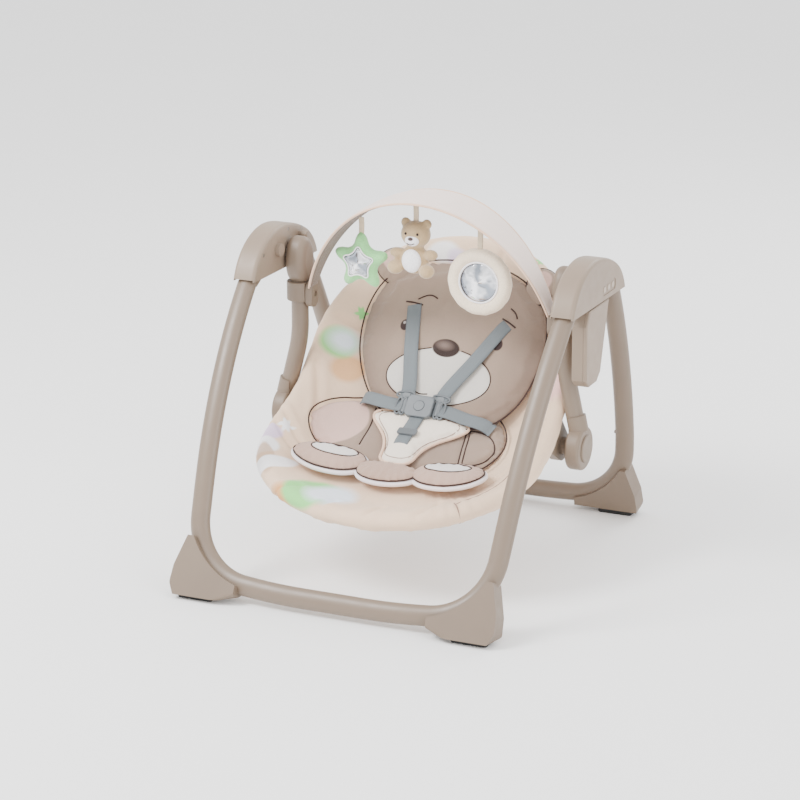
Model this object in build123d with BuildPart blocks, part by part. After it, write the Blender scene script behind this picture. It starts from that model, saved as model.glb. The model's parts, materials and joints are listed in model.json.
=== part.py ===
from build123d import *
import os
from math import cos, radians, sin

# Baby swing. Millimetres, +Z up, front towards -Y, +X to the sitter's left, origin on the floor
# under the middle of the footprint. Most pieces come in mirrored pairs about the plane X = 0.

# Tubes of the stand
TUBE_HALF_WIDTH = 16.0  # oval tube, half its wide way
TUBE_HALF_DEPTH = 11.0
TUBE_WALL = 1.2
JOINT_Z = 163.0  # height of the seam between a leg and the base tube
BEND_RADIUS = 106.0
SNAP_DROP = 12.0  # how far the snap buttons sit below the seam

# Leg lines: X at the seam, at mid leg and at the top, then Y at the same heights
LEG_X = (253.4, 261.7, 268.3)
LEG_Z = (JOINT_Z, 297.0, 431.0)
FRONT_LEG_Y = (-230.5, -156.0, -45.0)
REAR_LEG_Y = (273.7, 223.0, 154.5)
FRONT_BAR_Y = -302.7
REAR_BAR_Y = 308.3
BAR_Z = 23.0
BAR_BEND_X = 100.0  # where the crossbar starts to rise to its corner
CORNER_X = 244.0
CORNER_Z = 32.0

# Feet
FOOT_HALF_DEPTH = 18.0
FOOT_ROUND = 4.0
PAD_HEIGHT = 8.0

# Hub housings: two shells that meet at the parting plane
HUB_INNER_X = 249.0
HUB_PARTING_X = 268.0
HUB_OUTER_X = 288.0
HUB_WALL = 3.0
HUB_BOTTOM_Z = 432.0
HUB_ROUND = 6.5

# Pivots: (Y, Z)
FRONT_PIVOT = (24.0, 470.0)
REAR_PIVOT = (124.0, 462.0)
SWING_PIVOT = (64.0, 455.0)
RECLINE_PIVOT = (60.0, 194.0)
TOY_BAR_PIVOT = (64.0, 392.0)
PIVOT_PIN_RADIUS = 5.0
KNUCKLE_HALF_WIDTH = 12.0
RUNNING_GAP = 0.05  # radial clearance of a shaft in its bore

# Swing arms
ARM_X = 230.0
ARM_RADIUS = 14.0
ARM_FOOT_X = 254.0
AXLE_RADIUS = 8.0
LOWER_HUB_X = 243.0  # inner face of the disc that the seat hangs from

# Seat: a back plane and a front plane that meet along one line
FOLD_Y = 35.0
FOLD_Z = 215.0
BACK_ANGLE = 46.3
FRONT_ANGLE = 19.0
SEAT_TUBE_RADIUS = 8.0
BACK_STRAIGHT = 110.0
BACK_ROUND = 210.0
FRONT_STRAIGHT = 90.0
FRONT_ROUND = 179.0
BACK_HALF_WIDTH = 216.0
FRONT_HALF_WIDTH = 225.0

# Toy bar
ARCH_HALF_WIDTH = 216.0
ARCH_BASE_Z = 328.0
ARCH_TOP_Z = 577.0
ARCH_THICKNESS = 6.0
ARCH_TOP_Y = 51.0

back_plane = Plane(
    origin=(0, FOLD_Y, FOLD_Z),
    x_dir=(1, 0, 0),
    z_dir=(0, -sin(radians(BACK_ANGLE)), cos(radians(BACK_ANGLE))),
)
front_plane = Plane(
    origin=(0, FOLD_Y, FOLD_Z),
    x_dir=(1, 0, 0),
    z_dir=(0, -sin(radians(FRONT_ANGLE)), cos(radians(FRONT_ANGLE))),
)


def save(part, name):
    part.label = name
    export_step(part, f"parts/{name}.step")


def save_pair(part, name):
    """Writes the right-hand piece and its mirror image."""
    save(mirror(part, about=Plane.YZ), name + "_left")
    save(part, name + "_right")


def save_both(part, name):
    """Writes the right-hand piece and its mirror image as one group."""
    save(Compound(children=[mirror(part, about=Plane.YZ), part]), name)


def side_plane(x):
    """A plane across the swing at X = x, with its own X along Y and its own Y up."""
    return Plane.YZ.offset(x)


# ---------------------------------------------------------------- stand tubes


def leg_path(leg_y):
    with BuildLine() as path:
        ThreePointArc(*zip(LEG_X, leg_y, LEG_Z))
    return path.wire()


def base_path(leg_y, bar_y):
    """From one seam down, across the floor and up to the other seam."""
    leg = leg_path(leg_y)
    seam = leg @ 0
    lower = seam - (leg % 0) * 16
    corner = Vector(CORNER_X, bar_y + 0.2 * (lower.Y - bar_y), CORNER_Z)
    bend = Vector(BAR_BEND_X, bar_y, BAR_Z)
    half = [seam, lower, corner, bend]
    other = [Vector(-p.X, p.Y, p.Z) for p in reversed(half)]
    radii = [120, BEND_RADIUS, 900, 900, BEND_RADIUS, 120]
    with BuildLine() as path:
        FilletPolyline(*half, *other, radius=radii)
    return path.wire()


def oval_tube(path, wall=TUBE_WALL):
    """Oval tube along a path, solid if wall is 0."""
    start = Plane(origin=path @ 0, x_dir=(1, 0, 0), z_dir=path % 0)
    with BuildPart() as tube:
        with BuildSketch(start):
            Ellipse(TUBE_HALF_WIDTH, TUBE_HALF_DEPTH)
            if wall:
                Ellipse(TUBE_HALF_WIDTH - wall, TUBE_HALF_DEPTH - wall, mode=Mode.SUBTRACT)
        sweep(path=path)
    return tube.part


def snap_bar(leg_y, low, high, radius):
    """Round bar across the tube's inner face, a little below the seam."""
    leg = leg_path(leg_y)
    centre = leg @ 0 - (leg % 0) * SNAP_DROP
    face_x = centre.X - TUBE_HALF_WIDTH
    return round_bar(face_x + low, face_x + high, radius, (centre.Y, centre.Z))


def base_tube(leg_y, bar_y, with_holes):
    with BuildPart() as base:
        add(oval_tube(base_path(leg_y, bar_y)))
        if with_holes:
            plug = snap_bar(leg_y, -4, 6, 3.2)
            add(plug, mode=Mode.SUBTRACT)
            add(mirror(plug, about=Plane.YZ), mode=Mode.SUBTRACT)
    return base.part


def snap_button(leg_y):
    """Sprung button that locks a rear leg into the base tube."""
    with BuildPart() as button:
        add(snap_bar(leg_y, -1.8, 5, 3.0))
        fillet(button.edges().sort_by(Axis.X)[0], 1.2)
    return button.part


def knuckle(leg_y, pivot):
    """Leg end that turns on a pin inside the hub, with a spigot in the tube."""
    leg = leg_path(leg_y)
    top = leg @ 1
    along = leg % 1
    shank = top + along * 18
    end_plane = Plane(origin=top, x_dir=(1, 0, 0), z_dir=along)
    with BuildPart() as piece:
        with BuildSketch(side_plane(HUB_PARTING_X - KNUCKLE_HALF_WIDTH)):
            with Locations(pivot):
                Circle(13.5)
            with Locations((shank.Y, shank.Z)):
                Circle(10.5)
            with Locations((top.Y, top.Z)):
                Circle(10.5)
            make_hull()
        extrude(amount=2 * KNUCKLE_HALF_WIDTH)
        split(bisect_by=end_plane, keep=Keep.TOP)
        with BuildSketch(end_plane.offset(-14)):
            Ellipse(TUBE_HALF_WIDTH - TUBE_WALL - 0.4, TUBE_HALF_DEPTH - TUBE_WALL - 0.4)
        extrude(amount=14)
        with BuildSketch(side_plane(HUB_INNER_X)):
            with Locations(pivot):
                Circle(PIVOT_PIN_RADIUS + RUNNING_GAP)
        extrude(amount=40, mode=Mode.SUBTRACT)
    return piece.part


# ---------------------------------------------------------------- feet


def foot(leg_y, bar_y, facing):
    """Boot round the tube's corner. facing is -1 at the front and 1 at the rear."""
    leg = leg_path(leg_y)
    seam = leg @ 0
    up = Vector(0, seam.Y - bar_y, JOINT_Z - BAR_Z).normalized()
    out = Vector(0, facing * up.Z, -facing * up.Y)
    bar_plane = Plane(origin=(0, bar_y, BAR_Z), x_dir=(1, 0, 0), z_dir=out)
    tall = 1 if bar_plane.y_dir.Z > 0 else -1
    outline = [(255, 68), (269, 20), (271, -8), (260, -30), (198, -30), (160, -14), (160, 2)]
    with BuildPart() as boot:
        with BuildSketch(bar_plane.offset(-FOOT_HALF_DEPTH)) as side:
            with BuildLine():
                Polyline(*[(x, tall * w) for x, w in outline])
                ThreePointArc((160, tall * 2), (213, tall * 30), (245, tall * 68))
                Line((245, tall * 68), (255, tall * 68))
            make_face()
            outer = side.vertices().sort_by(Axis.X)[-3:]
            fillet(outer.sort_by(Axis.X)[-2:], 16)
        extrude(amount=2 * FOOT_HALF_DEPTH)
        split(bisect_by=Plane.XY.offset(PAD_HEIGHT), keep=Keep.TOP)
        outer_face = boot.faces().sort_by(Axis.Y)[-1 if facing > 0 else 0]
        fillet(outer_face.edges().filter_by(lambda e: e.center().Z > PAD_HEIGHT + 1), FOOT_ROUND)
        add(oval_tube(base_path(leg_y, bar_y), wall=0), mode=Mode.SUBTRACT)
        solids = boot.solids().sort_by(SortBy.VOLUME)
    with BuildPart() as kept:
        add(solids[-1])
    return kept.part


def foot_pad(bar_y, facing):
    """Rubber strip under a foot."""
    with BuildPart() as pad:
        with BuildSketch(Plane.XY):
            with Locations((229, bar_y + facing * 4)):
                RectangleRounded(58, 30, 5)
        extrude(amount=PAD_HEIGHT)
        fillet(pad.edges().group_by(Axis.Z)[0], 1.5)
    return pad.part


# ---------------------------------------------------------------- hub housings


def hub_outline(inset):
    """Helmet shape of the housing, seen from the side."""
    with BuildSketch(side_plane(0)) as outline:
        with BuildLine():
            brow = ThreePointArc((-60, HUB_BOTTOM_Z + 4), (-46, 463), (-14, 491))
            top = TangentArc(brow @ 1, (60, 504.5), tangent=brow % 1)
            back = TangentArc(top @ 1, (135, 480), tangent=top % 1)
            heel = TangentArc(back @ 1, (174, HUB_BOTTOM_Z), tangent=back % 1)
            Line(heel @ 1, brow @ 0)
        make_face()
        if inset:
            offset(amount=-inset, kind=Kind.INTERSECTION)
    return outline.sketch


def hub_shell(x_low, x_high, skin_low, skin_high):
    """One half housing between two X planes, open at the parting plane and underneath."""
    with BuildPart() as shell:
        extrude(hub_outline(0).moved(Location((x_low, 0, 0))), amount=x_high - x_low)
        hollow = hub_outline(HUB_WALL).moved(Location((x_low + skin_low, 0, 0)))
        depth = x_high - x_low - skin_low - skin_high
        skin_axis = -1 if skin_high > skin_low else 0
        skin_face = shell.faces().filter_by(Axis.X).sort_by(Axis.X)[skin_axis]
        crown = skin_face.edges().filter_by(lambda e: e.center().Z > HUB_BOTTOM_Z + 5)
        fillet(crown, HUB_ROUND)
        extrude(hollow, amount=depth, mode=Mode.SUBTRACT)
        with BuildSketch(side_plane(x_low + skin_low)):
            with Locations((51.5, HUB_BOTTOM_Z)):
                Rectangle(236, 14)
        extrude(amount=depth, mode=Mode.SUBTRACT)
    return shell.part


def round_bar(x_low, x_high, radius, centre):
    with BuildPart() as bar:
        with BuildSketch(side_plane(x_low)):
            with Locations(centre):
                Circle(radius)
        extrude(amount=x_high - x_low)
    return bar.part


FOLD_BUTTON = (105.0, 476.0)
SCREW_PLACES = [(-24.0, 472.0), (64.0, 494.5), (114.0, 485.5)]
PANEL_BUTTONS = [(78.0, 450.0), (96.0, 450.0), (114.0, 450.0)]


def hub_inner_shell():
    with BuildPart() as shell:
        add(hub_shell(HUB_INNER_X, HUB_PARTING_X, HUB_WALL, 0))
        add(round_bar(HUB_INNER_X - 8, HUB_INNER_X, 10, FRONT_PIVOT))
        for place in SCREW_PLACES:
            add(round_bar(HUB_INNER_X + HUB_WALL, HUB_PARTING_X, 3.5, place))
            add(round_bar(HUB_INNER_X - 1, HUB_PARTING_X, 1.5, place), mode=Mode.SUBTRACT)
            add(round_bar(HUB_INNER_X - 1, HUB_INNER_X + 2, 3, place), mode=Mode.SUBTRACT)
        add(round_bar(HUB_INNER_X - 1, 256, 12, SWING_PIVOT), mode=Mode.SUBTRACT)
        add(round_bar(HUB_INNER_X - 1, 256, 5.2, FOLD_BUTTON), mode=Mode.SUBTRACT)
    return shell.part


def hub_outer_shell(with_panel):
    with BuildPart() as shell:
        add(hub_shell(HUB_PARTING_X, HUB_OUTER_X, 0, HUB_WALL))
        for place in SCREW_PLACES:
            add(round_bar(HUB_PARTING_X, HUB_OUTER_X - HUB_WALL, 3.5, place))
            add(round_bar(HUB_PARTING_X - 1, HUB_PARTING_X + 10, 1.5, place), mode=Mode.SUBTRACT)
        if with_panel:
            with BuildSketch(side_plane(HUB_OUTER_X - 1)):
                with Locations((96, 450)):
                    RectangleRounded(58, 18, 6)
            extrude(amount=2, mode=Mode.SUBTRACT)
            for place in PANEL_BUTTONS:
                add(round_bar(HUB_OUTER_X - 6, HUB_OUTER_X, 5.3, place), mode=Mode.SUBTRACT)
    return shell.part


def hub_screws():
    """Self-tapping screws that hold the two shells together, right-hand hub."""
    with BuildPart() as screws:
        for place in SCREW_PLACES:
            add(round_bar(HUB_INNER_X + 0.3, HUB_INNER_X + 2, 2.8, place))
            add(round_bar(HUB_INNER_X + 2, HUB_PARTING_X + 9, 1.5, place))
    return screws.part


def pivot_pins():
    with BuildPart() as pins:
        for pivot in (FRONT_PIVOT, REAR_PIVOT):
            add(round_bar(HUB_INNER_X + HUB_WALL, HUB_OUTER_X - HUB_WALL, PIVOT_PIN_RADIUS, pivot))
    return pins.part


def axle_bush():
    with BuildPart() as bush:
        add(round_bar(HUB_INNER_X, 260, 12, SWING_PIVOT))
        add(round_bar(HUB_INNER_X - 1, 261, AXLE_RADIUS + RUNNING_GAP, SWING_PIVOT), mode=Mode.SUBTRACT)
    return bush.part


def fold_button():
    with BuildPart() as button:
        add(round_bar(234, 244, 7, FOLD_BUTTON))
        fillet(button.edges().sort_by(Axis.X)[0], 2)
        add(round_bar(244, 257, 5, FOLD_BUTTON))
    return button.part


def panel_button(place):
    with BuildPart() as button:
        add(round_bar(284.9, HUB_OUTER_X, 5, place))
        fillet(button.edges().sort_by(Axis.X)[-1], 0.8)
        add(round_bar(284, 284.9, 6.4, place))
    return button.part


# ---------------------------------------------------------------- drive and battery box

BOX_INNER_X = 263.5
DOOR_X = 281.5
BOX_WALL = 2.0


def box_outline(inset):
    corners = [(15, 431.5), (2.5, 408), (3, 322), (16, 310), (48, 310), (64, 322), (98, 431.5)]
    with BuildSketch(side_plane(0)) as outline:
        Polygon(*corners, align=None)
        fillet(outline.vertices().group_by(Axis.Z)[:-1], 5)
        if inset:
            offset(amount=-inset, kind=Kind.INTERSECTION)
    return outline.sketch


def battery_box():
    with BuildPart() as box:
        extrude(box_outline(0).moved(Location((BOX_INNER_X, 0, 0))), amount=DOOR_X - BOX_INNER_X)
        hollow = box_outline(BOX_WALL).moved(Location((BOX_INNER_X + BOX_WALL, 0, 0)))
        extrude(hollow, amount=DOOR_X - BOX_INNER_X, mode=Mode.SUBTRACT)
    return box.part


def battery_door():
    with BuildPart() as door:
        extrude(box_outline(0).moved(Location((DOOR_X + 0.4, 0, 0))), amount=HUB_OUTER_X - DOOR_X - 0.4)
        outer_face = door.faces().filter_by(Axis.X).sort_by(Axis.X)[-1]
        fillet(outer_face.edges(), 2.5)
        extrude(box_outline(3.5).moved(Location((DOOR_X, 0, 0))), amount=4, mode=Mode.SUBTRACT)
    return door.part


CELL_YS = (20.0, 37.0)
CELL_X = 273.0


def battery_cells():
    with BuildPart() as cells:
        for y in CELL_YS:
            for low in (320.0, 371.5):
                with BuildSketch(Plane.XY.offset(low)):
                    with Locations((CELL_X, y)):
                        Circle(7.1)
                extrude(amount=49)
                with BuildSketch(Plane.XY.offset(low + 49)):
                    with Locations((CELL_X, y)):
                        Circle(2.7)
                extrude(amount=1.5)
    return cells.part


def battery_contacts():
    """Metal plates at the ends of the two rows of cells."""
    with BuildPart() as contacts:
        for y in CELL_YS:
            for z in (318.5, 422.5):
                with BuildSketch(Plane.XY.offset(z)):
                    with Locations((CELL_X, y)):
                        Rectangle(11, 13)
                extrude(amount=0.8)
    return contacts.part


def block(x_low, x_high, y_low, y_high, z_low, z_high):
    with BuildPart() as piece:
        with BuildSketch(Plane.XY.offset(z_low)):
            with Locations(((x_low + x_high) / 2, (y_low + y_high) / 2)):
                Rectangle(x_high - x_low, y_high - y_low)
        extrude(amount=z_high - z_low)
    return piece.part


def circuit_board():
    return block(281.2, 282.8, 66, 150, 437, 455.5)


def drive_lever():
    """Lever on the right-hand axle that carries the drive magnet."""
    y, z = SWING_PIVOT
    with BuildPart() as lever:
        add(round_bar(262, 265, 12, SWING_PIVOT))
        add(block(262, 265, y - 5, y + 5, z, z + 32))
        add(round_bar(261, 266, AXLE_RADIUS, SWING_PIVOT), mode=Mode.SUBTRACT)
    return lever.part


def drive_magnet():
    y, z = SWING_PIVOT
    return block(265, 270, y - 6, y + 6, z + 18, z + 32)


def drive_coil():
    with BuildPart() as coil:
        add(round_bar(272.5, 284.5, 7.5, (64.0, 478.0)))
        add(round_bar(272, 285, 3, (64.0, 478.0)), mode=Mode.SUBTRACT)
    return coil.part


def speaker():
    with BuildPart() as cone:
        add(round_bar(277, 281, 8, (94.0, 480.0)))
        add(round_bar(281, 284.8, 10, (94.0, 480.0)))
    return cone.part


# ---------------------------------------------------------------- swing arms


def arm_path():
    with BuildLine() as path:
        FilletPolyline(
            (ARM_X, SWING_PIVOT[0], 428),
            (ARM_X, SWING_PIVOT[0], 318),
            (ARM_FOOT_X, RECLINE_PIVOT[0], RECLINE_PIVOT[1] + 24),
            radius=220,
        )
    return path.wire()


def arm_tube(grow=0.0, wall=1.5):
    path = arm_path()
    with BuildPart() as tube:
        with BuildSketch(Plane(origin=path @ 0, x_dir=(1, 0, 0), z_dir=path % 0)):
            Circle(ARM_RADIUS + grow)
            if wall:
                Circle(ARM_RADIUS - wall, mode=Mode.SUBTRACT)
        sweep(path=path)
    return tube.part


def arm_head():
    """Egg-shaped head at the top of an arm, turning with the axle."""
    with BuildPart() as head:
        with BuildSketch(side_plane(212)):
            with Locations((64, 446)):
                Ellipse(25.5, 39)
        extrude(amount=35)
        fillet(head.edges(), 13)
        split(bisect_by=Plane.XY.offset(412), keep=Keep.TOP)
        add(round_bar(240, 248, 13, SWING_PIVOT))
        add(round_bar(232, 249, AXLE_RADIUS, SWING_PIVOT), mode=Mode.SUBTRACT)
        add(arm_tube(wall=0), mode=Mode.SUBTRACT)
    return head.part


def swing_axle(end_x):
    return round_bar(244.5, end_x, AXLE_RADIUS, SWING_PIVOT)


def toy_bar_collar():
    """Clip round the arm with the pin that the toy bar turns on."""
    with BuildPart() as collar:
        with BuildSketch(Plane.XY.offset(380)):
            with Locations((ARM_X, SWING_PIVOT[0])):
                Circle(21)
        extrude(amount=31.5)
        fillet(collar.edges(), 1.5)
        split(bisect_by=Plane.YZ.offset(214.8), keep=Keep.TOP)
        add(round_bar(204.5, 215.5, 5, TOY_BAR_PIVOT))
        add(arm_tube(wall=0), mode=Mode.SUBTRACT)
    return collar.part


def lower_hub():
    """Disc at the foot of an arm that the seat reclines on."""
    path = arm_path()
    end = path @ 1
    with BuildPart() as hub:
        add(round_bar(LOWER_HUB_X, LOWER_HUB_X + 24, 35, RECLINE_PIVOT))
        fillet(hub.edges(), 5)
        with BuildSketch(Plane(origin=end, x_dir=(1, 0, 0), z_dir=-(path % 1)).offset(3)):
            Circle(17.4)
        extrude(amount=25)
        split(bisect_by=Plane.YZ.offset(LOWER_HUB_X), keep=Keep.TOP)
        add(round_bar(LOWER_HUB_X + 17.5, LOWER_HUB_X + 26, 22.3, RECLINE_PIVOT), mode=Mode.SUBTRACT)
        add(round_bar(LOWER_HUB_X - 1, LOWER_HUB_X + 18, 6 + RUNNING_GAP, RECLINE_PIVOT), mode=Mode.SUBTRACT)
        add(arm_tube(wall=0), mode=Mode.SUBTRACT)
    return hub.part


def recline_button():
    with BuildPart() as button:
        add(round_bar(LOWER_HUB_X + 21, LOWER_HUB_X + 27, 22, RECLINE_PIVOT))
        fillet(button.edges().sort_by(Axis.X)[-1], 2.5)
    return button.part


# ---------------------------------------------------------------- seat frame and fabric


def draw_back(inset, start):
    """Back of the seat: straight sides and a half-oval top. Returns the two open ends."""
    half = BACK_HALF_WIDTH - inset
    Line((half, start), (half, BACK_STRAIGHT))
    EllipticalCenterArc((0, BACK_STRAIGHT), half, BACK_ROUND - inset, start_angle=0, arc_size=180)
    Line((-half, BACK_STRAIGHT), (-half, start))
    return (half, start), (-half, start)


def draw_front(inset, start):
    """Front of the seat, drawn the same way towards the sitter's feet."""
    half = FRONT_HALF_WIDTH - inset
    Line((-half, -start), (-half, -FRONT_STRAIGHT))
    EllipticalCenterArc((0, -FRONT_STRAIGHT), half, FRONT_ROUND - inset, start_angle=180, arc_size=180)
    Line((half, -FRONT_STRAIGHT), (half, -start))
    return (-half, -start), (half, -start)


def seat_tube(draw, plane, radius, wall):
    with BuildLine(plane) as line:
        draw(0, 12)
    path = line.wire()
    with BuildPart() as tube:
        with BuildSketch(Plane(origin=path @ 0, z_dir=path % 0)):
            Circle(radius)
            if wall:
                Circle(radius - wall, mode=Mode.SUBTRACT)
        sweep(path=path)
    return tube.part


def back_tube(grow=0.0, wall=1.2):
    return seat_tube(draw_back, back_plane, SEAT_TUBE_RADIUS + grow, wall)


def front_tube(grow=0.0, wall=1.2):
    return seat_tube(draw_front, front_plane, SEAT_TUBE_RADIUS + grow, wall)


BRACKET_X = 229.0  # outer face of the bracket plate


def bracket_blank(x_low, x_high, grow):
    with BuildPart() as blank:
        with BuildSketch(side_plane(x_low)):
            with Locations(RECLINE_PIVOT):
                Circle(24 + grow)
            with Locations((48, 226)):
                Circle(13 + grow)
            with Locations((16, 208)):
                Circle(13 + grow)
            make_hull()
        extrude(amount=x_high - x_low)
    return blank.part


def seat_bracket():
    """Plate that joins the two seat tubes to the reclining pivot."""
    with BuildPart() as bracket:
        add(bracket_blank(213, BRACKET_X, 0))
        add(round_bar(BRACKET_X, LOWER_HUB_X - 1, 14, RECLINE_PIVOT))
        add(round_bar(LOWER_HUB_X - 1, LOWER_HUB_X + 17, 6, RECLINE_PIVOT))
        add(back_tube(wall=0), mode=Mode.SUBTRACT)
        add(front_tube(wall=0), mode=Mode.SUBTRACT)
    return bracket.part


def dish(plane, draw, rim, top, bottom, taper):
    """Shallow bowl under a seat outline: wide at the top and narrower at the bottom."""
    with BuildPart() as bowl:
        for height, inset in ((top, rim), (bottom, rim + taper)):
            with BuildSketch(plane.offset(height)):
                with BuildLine():
                    first, last = draw(inset, -16)
                    Line(last, first)
                make_face()
        loft()
    return bowl.part


def seat_fabric():
    """Sling that hangs in the seat tubes, with a hem round them and a padded floor."""
    with BuildPart() as sling:
        add(dish(back_plane, draw_back, -10, 11, -34, 40))
        add(dish(front_plane, draw_front, -10, 11, -34, 40))
        add(dish(back_plane, draw_back, 14, 11.5, -24, 26), mode=Mode.SUBTRACT)
        add(dish(front_plane, draw_front, 14, 11.5, -24, 26), mode=Mode.SUBTRACT)
        add(back_tube(grow=0.1, wall=0), mode=Mode.SUBTRACT)
        add(front_tube(grow=0.1, wall=0), mode=Mode.SUBTRACT)
        for side in (-1, 1):
            blank = bracket_blank(212, LOWER_HUB_X, 1)
            add(blank if side > 0 else mirror(blank, about=Plane.YZ), mode=Mode.SUBTRACT)
        solids = sling.solids().sort_by(SortBy.VOLUME)
    with BuildPart() as kept:
        add(solids[-1])
    return kept.part


# ---------------------------------------------------------------- padded insert


def oval_pad(plane, centre, radii, low, high, round_edge):
    with BuildPart() as pad:
        with BuildSketch(plane.offset(low)):
            with Locations(centre):
                Ellipse(*radii)
        extrude(amount=high - low)
        fillet(pad.edges(), round_edge)
    return pad.part


def insert_back():
    return oval_pad(back_plane, (0, 146), (156, 134), -22, 16, 10)


def insert_seat():
    return oval_pad(front_plane, (0, -112), (172, 104), -22, 8, 8)


def insert_feet():
    with BuildPart() as pads:
        add(oval_pad(front_plane, (-98, -140), (66, 36), 8.3, 32, 8))
        add(oval_pad(front_plane, (98, -140), (66, 36), 8.3, 32, 8))
    return pads.part


def crotch_pad():
    with BuildPart() as pad:
        with BuildSketch(front_plane.offset(8.5)):
            with Locations((0, -32)):
                RectangleRounded(150, 36, 12)
            with Locations((0, -87)):
                RectangleRounded(54, 104, 12)
        extrude(amount=4)
    return pad.part


# ---------------------------------------------------------------- harness

STRAP_WIDTH = 24.0
STRAP_THICKNESS = 1.6


def strap(start, end, up):
    """Flat webbing between two points, with its face along up."""
    run = Vector(*end) - Vector(*start)
    with BuildPart() as webbing:
        with BuildSketch(Plane(origin=start, x_dir=run.cross(Vector(*up)), z_dir=run)):
            Rectangle(STRAP_WIDTH, STRAP_THICKNESS)
        extrude(amount=run.length)
    return webbing.part


def seat_point(plane, u, v, height):
    return tuple(plane.from_local_coords(Vector(u, v, height)))


BUCKLE_HEIGHT = 22.0  # underside of the buckle above the seat's back plane


def shoulder_strap():
    up = tuple(back_plane.z_dir)
    start = seat_point(back_plane, 82, 182, 17.5)
    end = seat_point(back_plane, 27, 36, 24)
    return strap(start, end, up)


def waist_strap():
    up = tuple(back_plane.z_dir)
    start = seat_point(back_plane, 116, 4, 22)
    end = seat_point(back_plane, 37, 8, 24)
    return strap(start, end, up)


def crotch_strap():
    up = tuple(front_plane.z_dir)
    start = seat_point(front_plane, 0, -28, 17)
    end = seat_point(front_plane, 0, -92, 14)
    return strap(start, end, up)


def harness_straps():
    """Two shoulder straps, two waist straps and one between the legs."""
    pair = [shoulder_strap(), waist_strap()]
    mirrored = [mirror(webbing, about=Plane.YZ) for webbing in pair]
    return Compound(children=[*pair, *mirrored, crotch_strap()])


def buckle_body():
    with BuildPart() as buckle:
        with BuildSketch(back_plane.offset(BUCKLE_HEIGHT)):
            with Locations((0, 8)):
                RectangleRounded(46, 38, 9)
        extrude(amount=10)
        fillet(buckle.faces().sort_by(SortBy.DISTANCE)[-1].edges(), 2)
        with BuildSketch(back_plane.offset(BUCKLE_HEIGHT + 3.5)):
            with Locations((0, 8)):
                Circle(9.4)
        extrude(amount=9, mode=Mode.SUBTRACT)
    return buckle.part


def buckle_button():
    with BuildPart() as button:
        with BuildSketch(back_plane.offset(BUCKLE_HEIGHT + 6)):
            with Locations((0, 8)):
                Circle(9)
        extrude(amount=5)
        fillet(button.faces().sort_by(Axis.Z)[-1].edges(), 1)
    return button.part


def buckle_tongue():
    """Plastic end on the shoulder and waist straps of one side."""
    with BuildPart() as tongue:
        with BuildSketch(back_plane.offset(BUCKLE_HEIGHT + 0.9)):
            with Locations((29.5, 14)):
                RectangleRounded(12, 34, 3)
        extrude(amount=2.2)
    return tongue.part


def strap_adjuster():
    """Slider on the crotch strap."""
    with BuildPart() as slider:
        with BuildSketch(front_plane.offset(17.6)):
            with Locations((0, -60)):
                RectangleRounded(32, 14, 3)
        extrude(amount=3)
    return slider.part


# ---------------------------------------------------------------- toy bar and toys


def arch_ring(half_width, height, depth):
    """Half-oval prism across the swing, used for the outside and inside of the arch."""
    with BuildPart() as ring:
        with BuildSketch(Plane.XZ.offset(60)):
            with BuildLine():
                EllipticalCenterArc((0, ARCH_BASE_Z), half_width, height, start_angle=0, arc_size=180)
                Line((-half_width, ARCH_BASE_Z), (half_width, ARCH_BASE_Z))
            make_face()
        extrude(amount=-depth)
    return ring.part


def toy_arch():
    """Padded bow: wide over the sitter and narrow at its two ends."""
    rise = ARCH_TOP_Z - ARCH_BASE_Z
    low_z = 396.0
    with BuildPart() as arch:
        add(arch_ring(ARCH_HALF_WIDTH + ARCH_THICKNESS / 2, rise, 240))
        inner_rise = rise - ARCH_THICKNESS
        add(arch_ring(ARCH_HALF_WIDTH - ARCH_THICKNESS / 2, inner_rise, 240), mode=Mode.SUBTRACT)
        with BuildSketch(side_plane(-240)):
            with BuildLine():
                Line((54, low_z), (74, low_z))
                ThreePointArc((74, low_z), (84, 500), (ARCH_TOP_Y + 52, 579))
                Line((ARCH_TOP_Y + 52, 579), (ARCH_TOP_Y - 54, 579))
                ThreePointArc((ARCH_TOP_Y - 54, 579), (35, 500), (54, low_z))
            make_face()
        extrude(amount=480, mode=Mode.INTERSECT)
        clips = arch_clip(0.0)
        add(clips, mode=Mode.SUBTRACT)
        add(mirror(clips, about=Plane.YZ), mode=Mode.SUBTRACT)
    return arch.part


def arch_clip(bore_radius):
    """Rounded end of the bow that turns on the collar's pin."""
    with BuildPart() as clip:
        with BuildSketch(side_plane(202)):
            with Locations((64, 391)):
                SlotOverall(42, 27, rotation=90)
        extrude(amount=12)
        fillet(clip.edges().filter_by(lambda e: e.center().X < 203), 3)
        if bore_radius:
            add(round_bar(200, 216, bore_radius, TOY_BAR_PIVOT), mode=Mode.SUBTRACT)
    return clip.part


STAR_PLACE = (-118.0, 456.0)
BEAR_PLACE = (-24.0, 484.0)
RING_PLACE = (86.0, 445.0)
TOY_Y = 60.0


def toy_plane(y):
    """A vertical plane that faces the front, with its own Y up."""
    return Plane(origin=(0, y, 0), x_dir=(1, 0, 0), z_dir=(0, -1, 0))


def star_outline(tip, waist):
    x, z = STAR_PLACE
    with BuildSketch(toy_plane(TOY_Y)) as star:
        with Locations((x, z)):
            spikes = []
            for step in range(10):
                angle = radians(90 + 36 * step)
                reach = tip if step % 2 == 0 else waist
                spikes.append((reach * cos(angle), reach * sin(angle)))
            Polygon(*spikes, align=None)
    return star.sketch


def star_plush():
    with BuildPart() as star:
        extrude(star_outline(48, 28).moved(Location((0, 10, 0))), amount=20)
        fillet(star.edges().filter_by(Axis.Y), 5)
    return star.part


def star_mirror():
    with BuildPart() as plate:
        extrude(star_outline(28, 15).moved(Location((0, -10.2, 0))), amount=1.2)
    return plate.part


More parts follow.
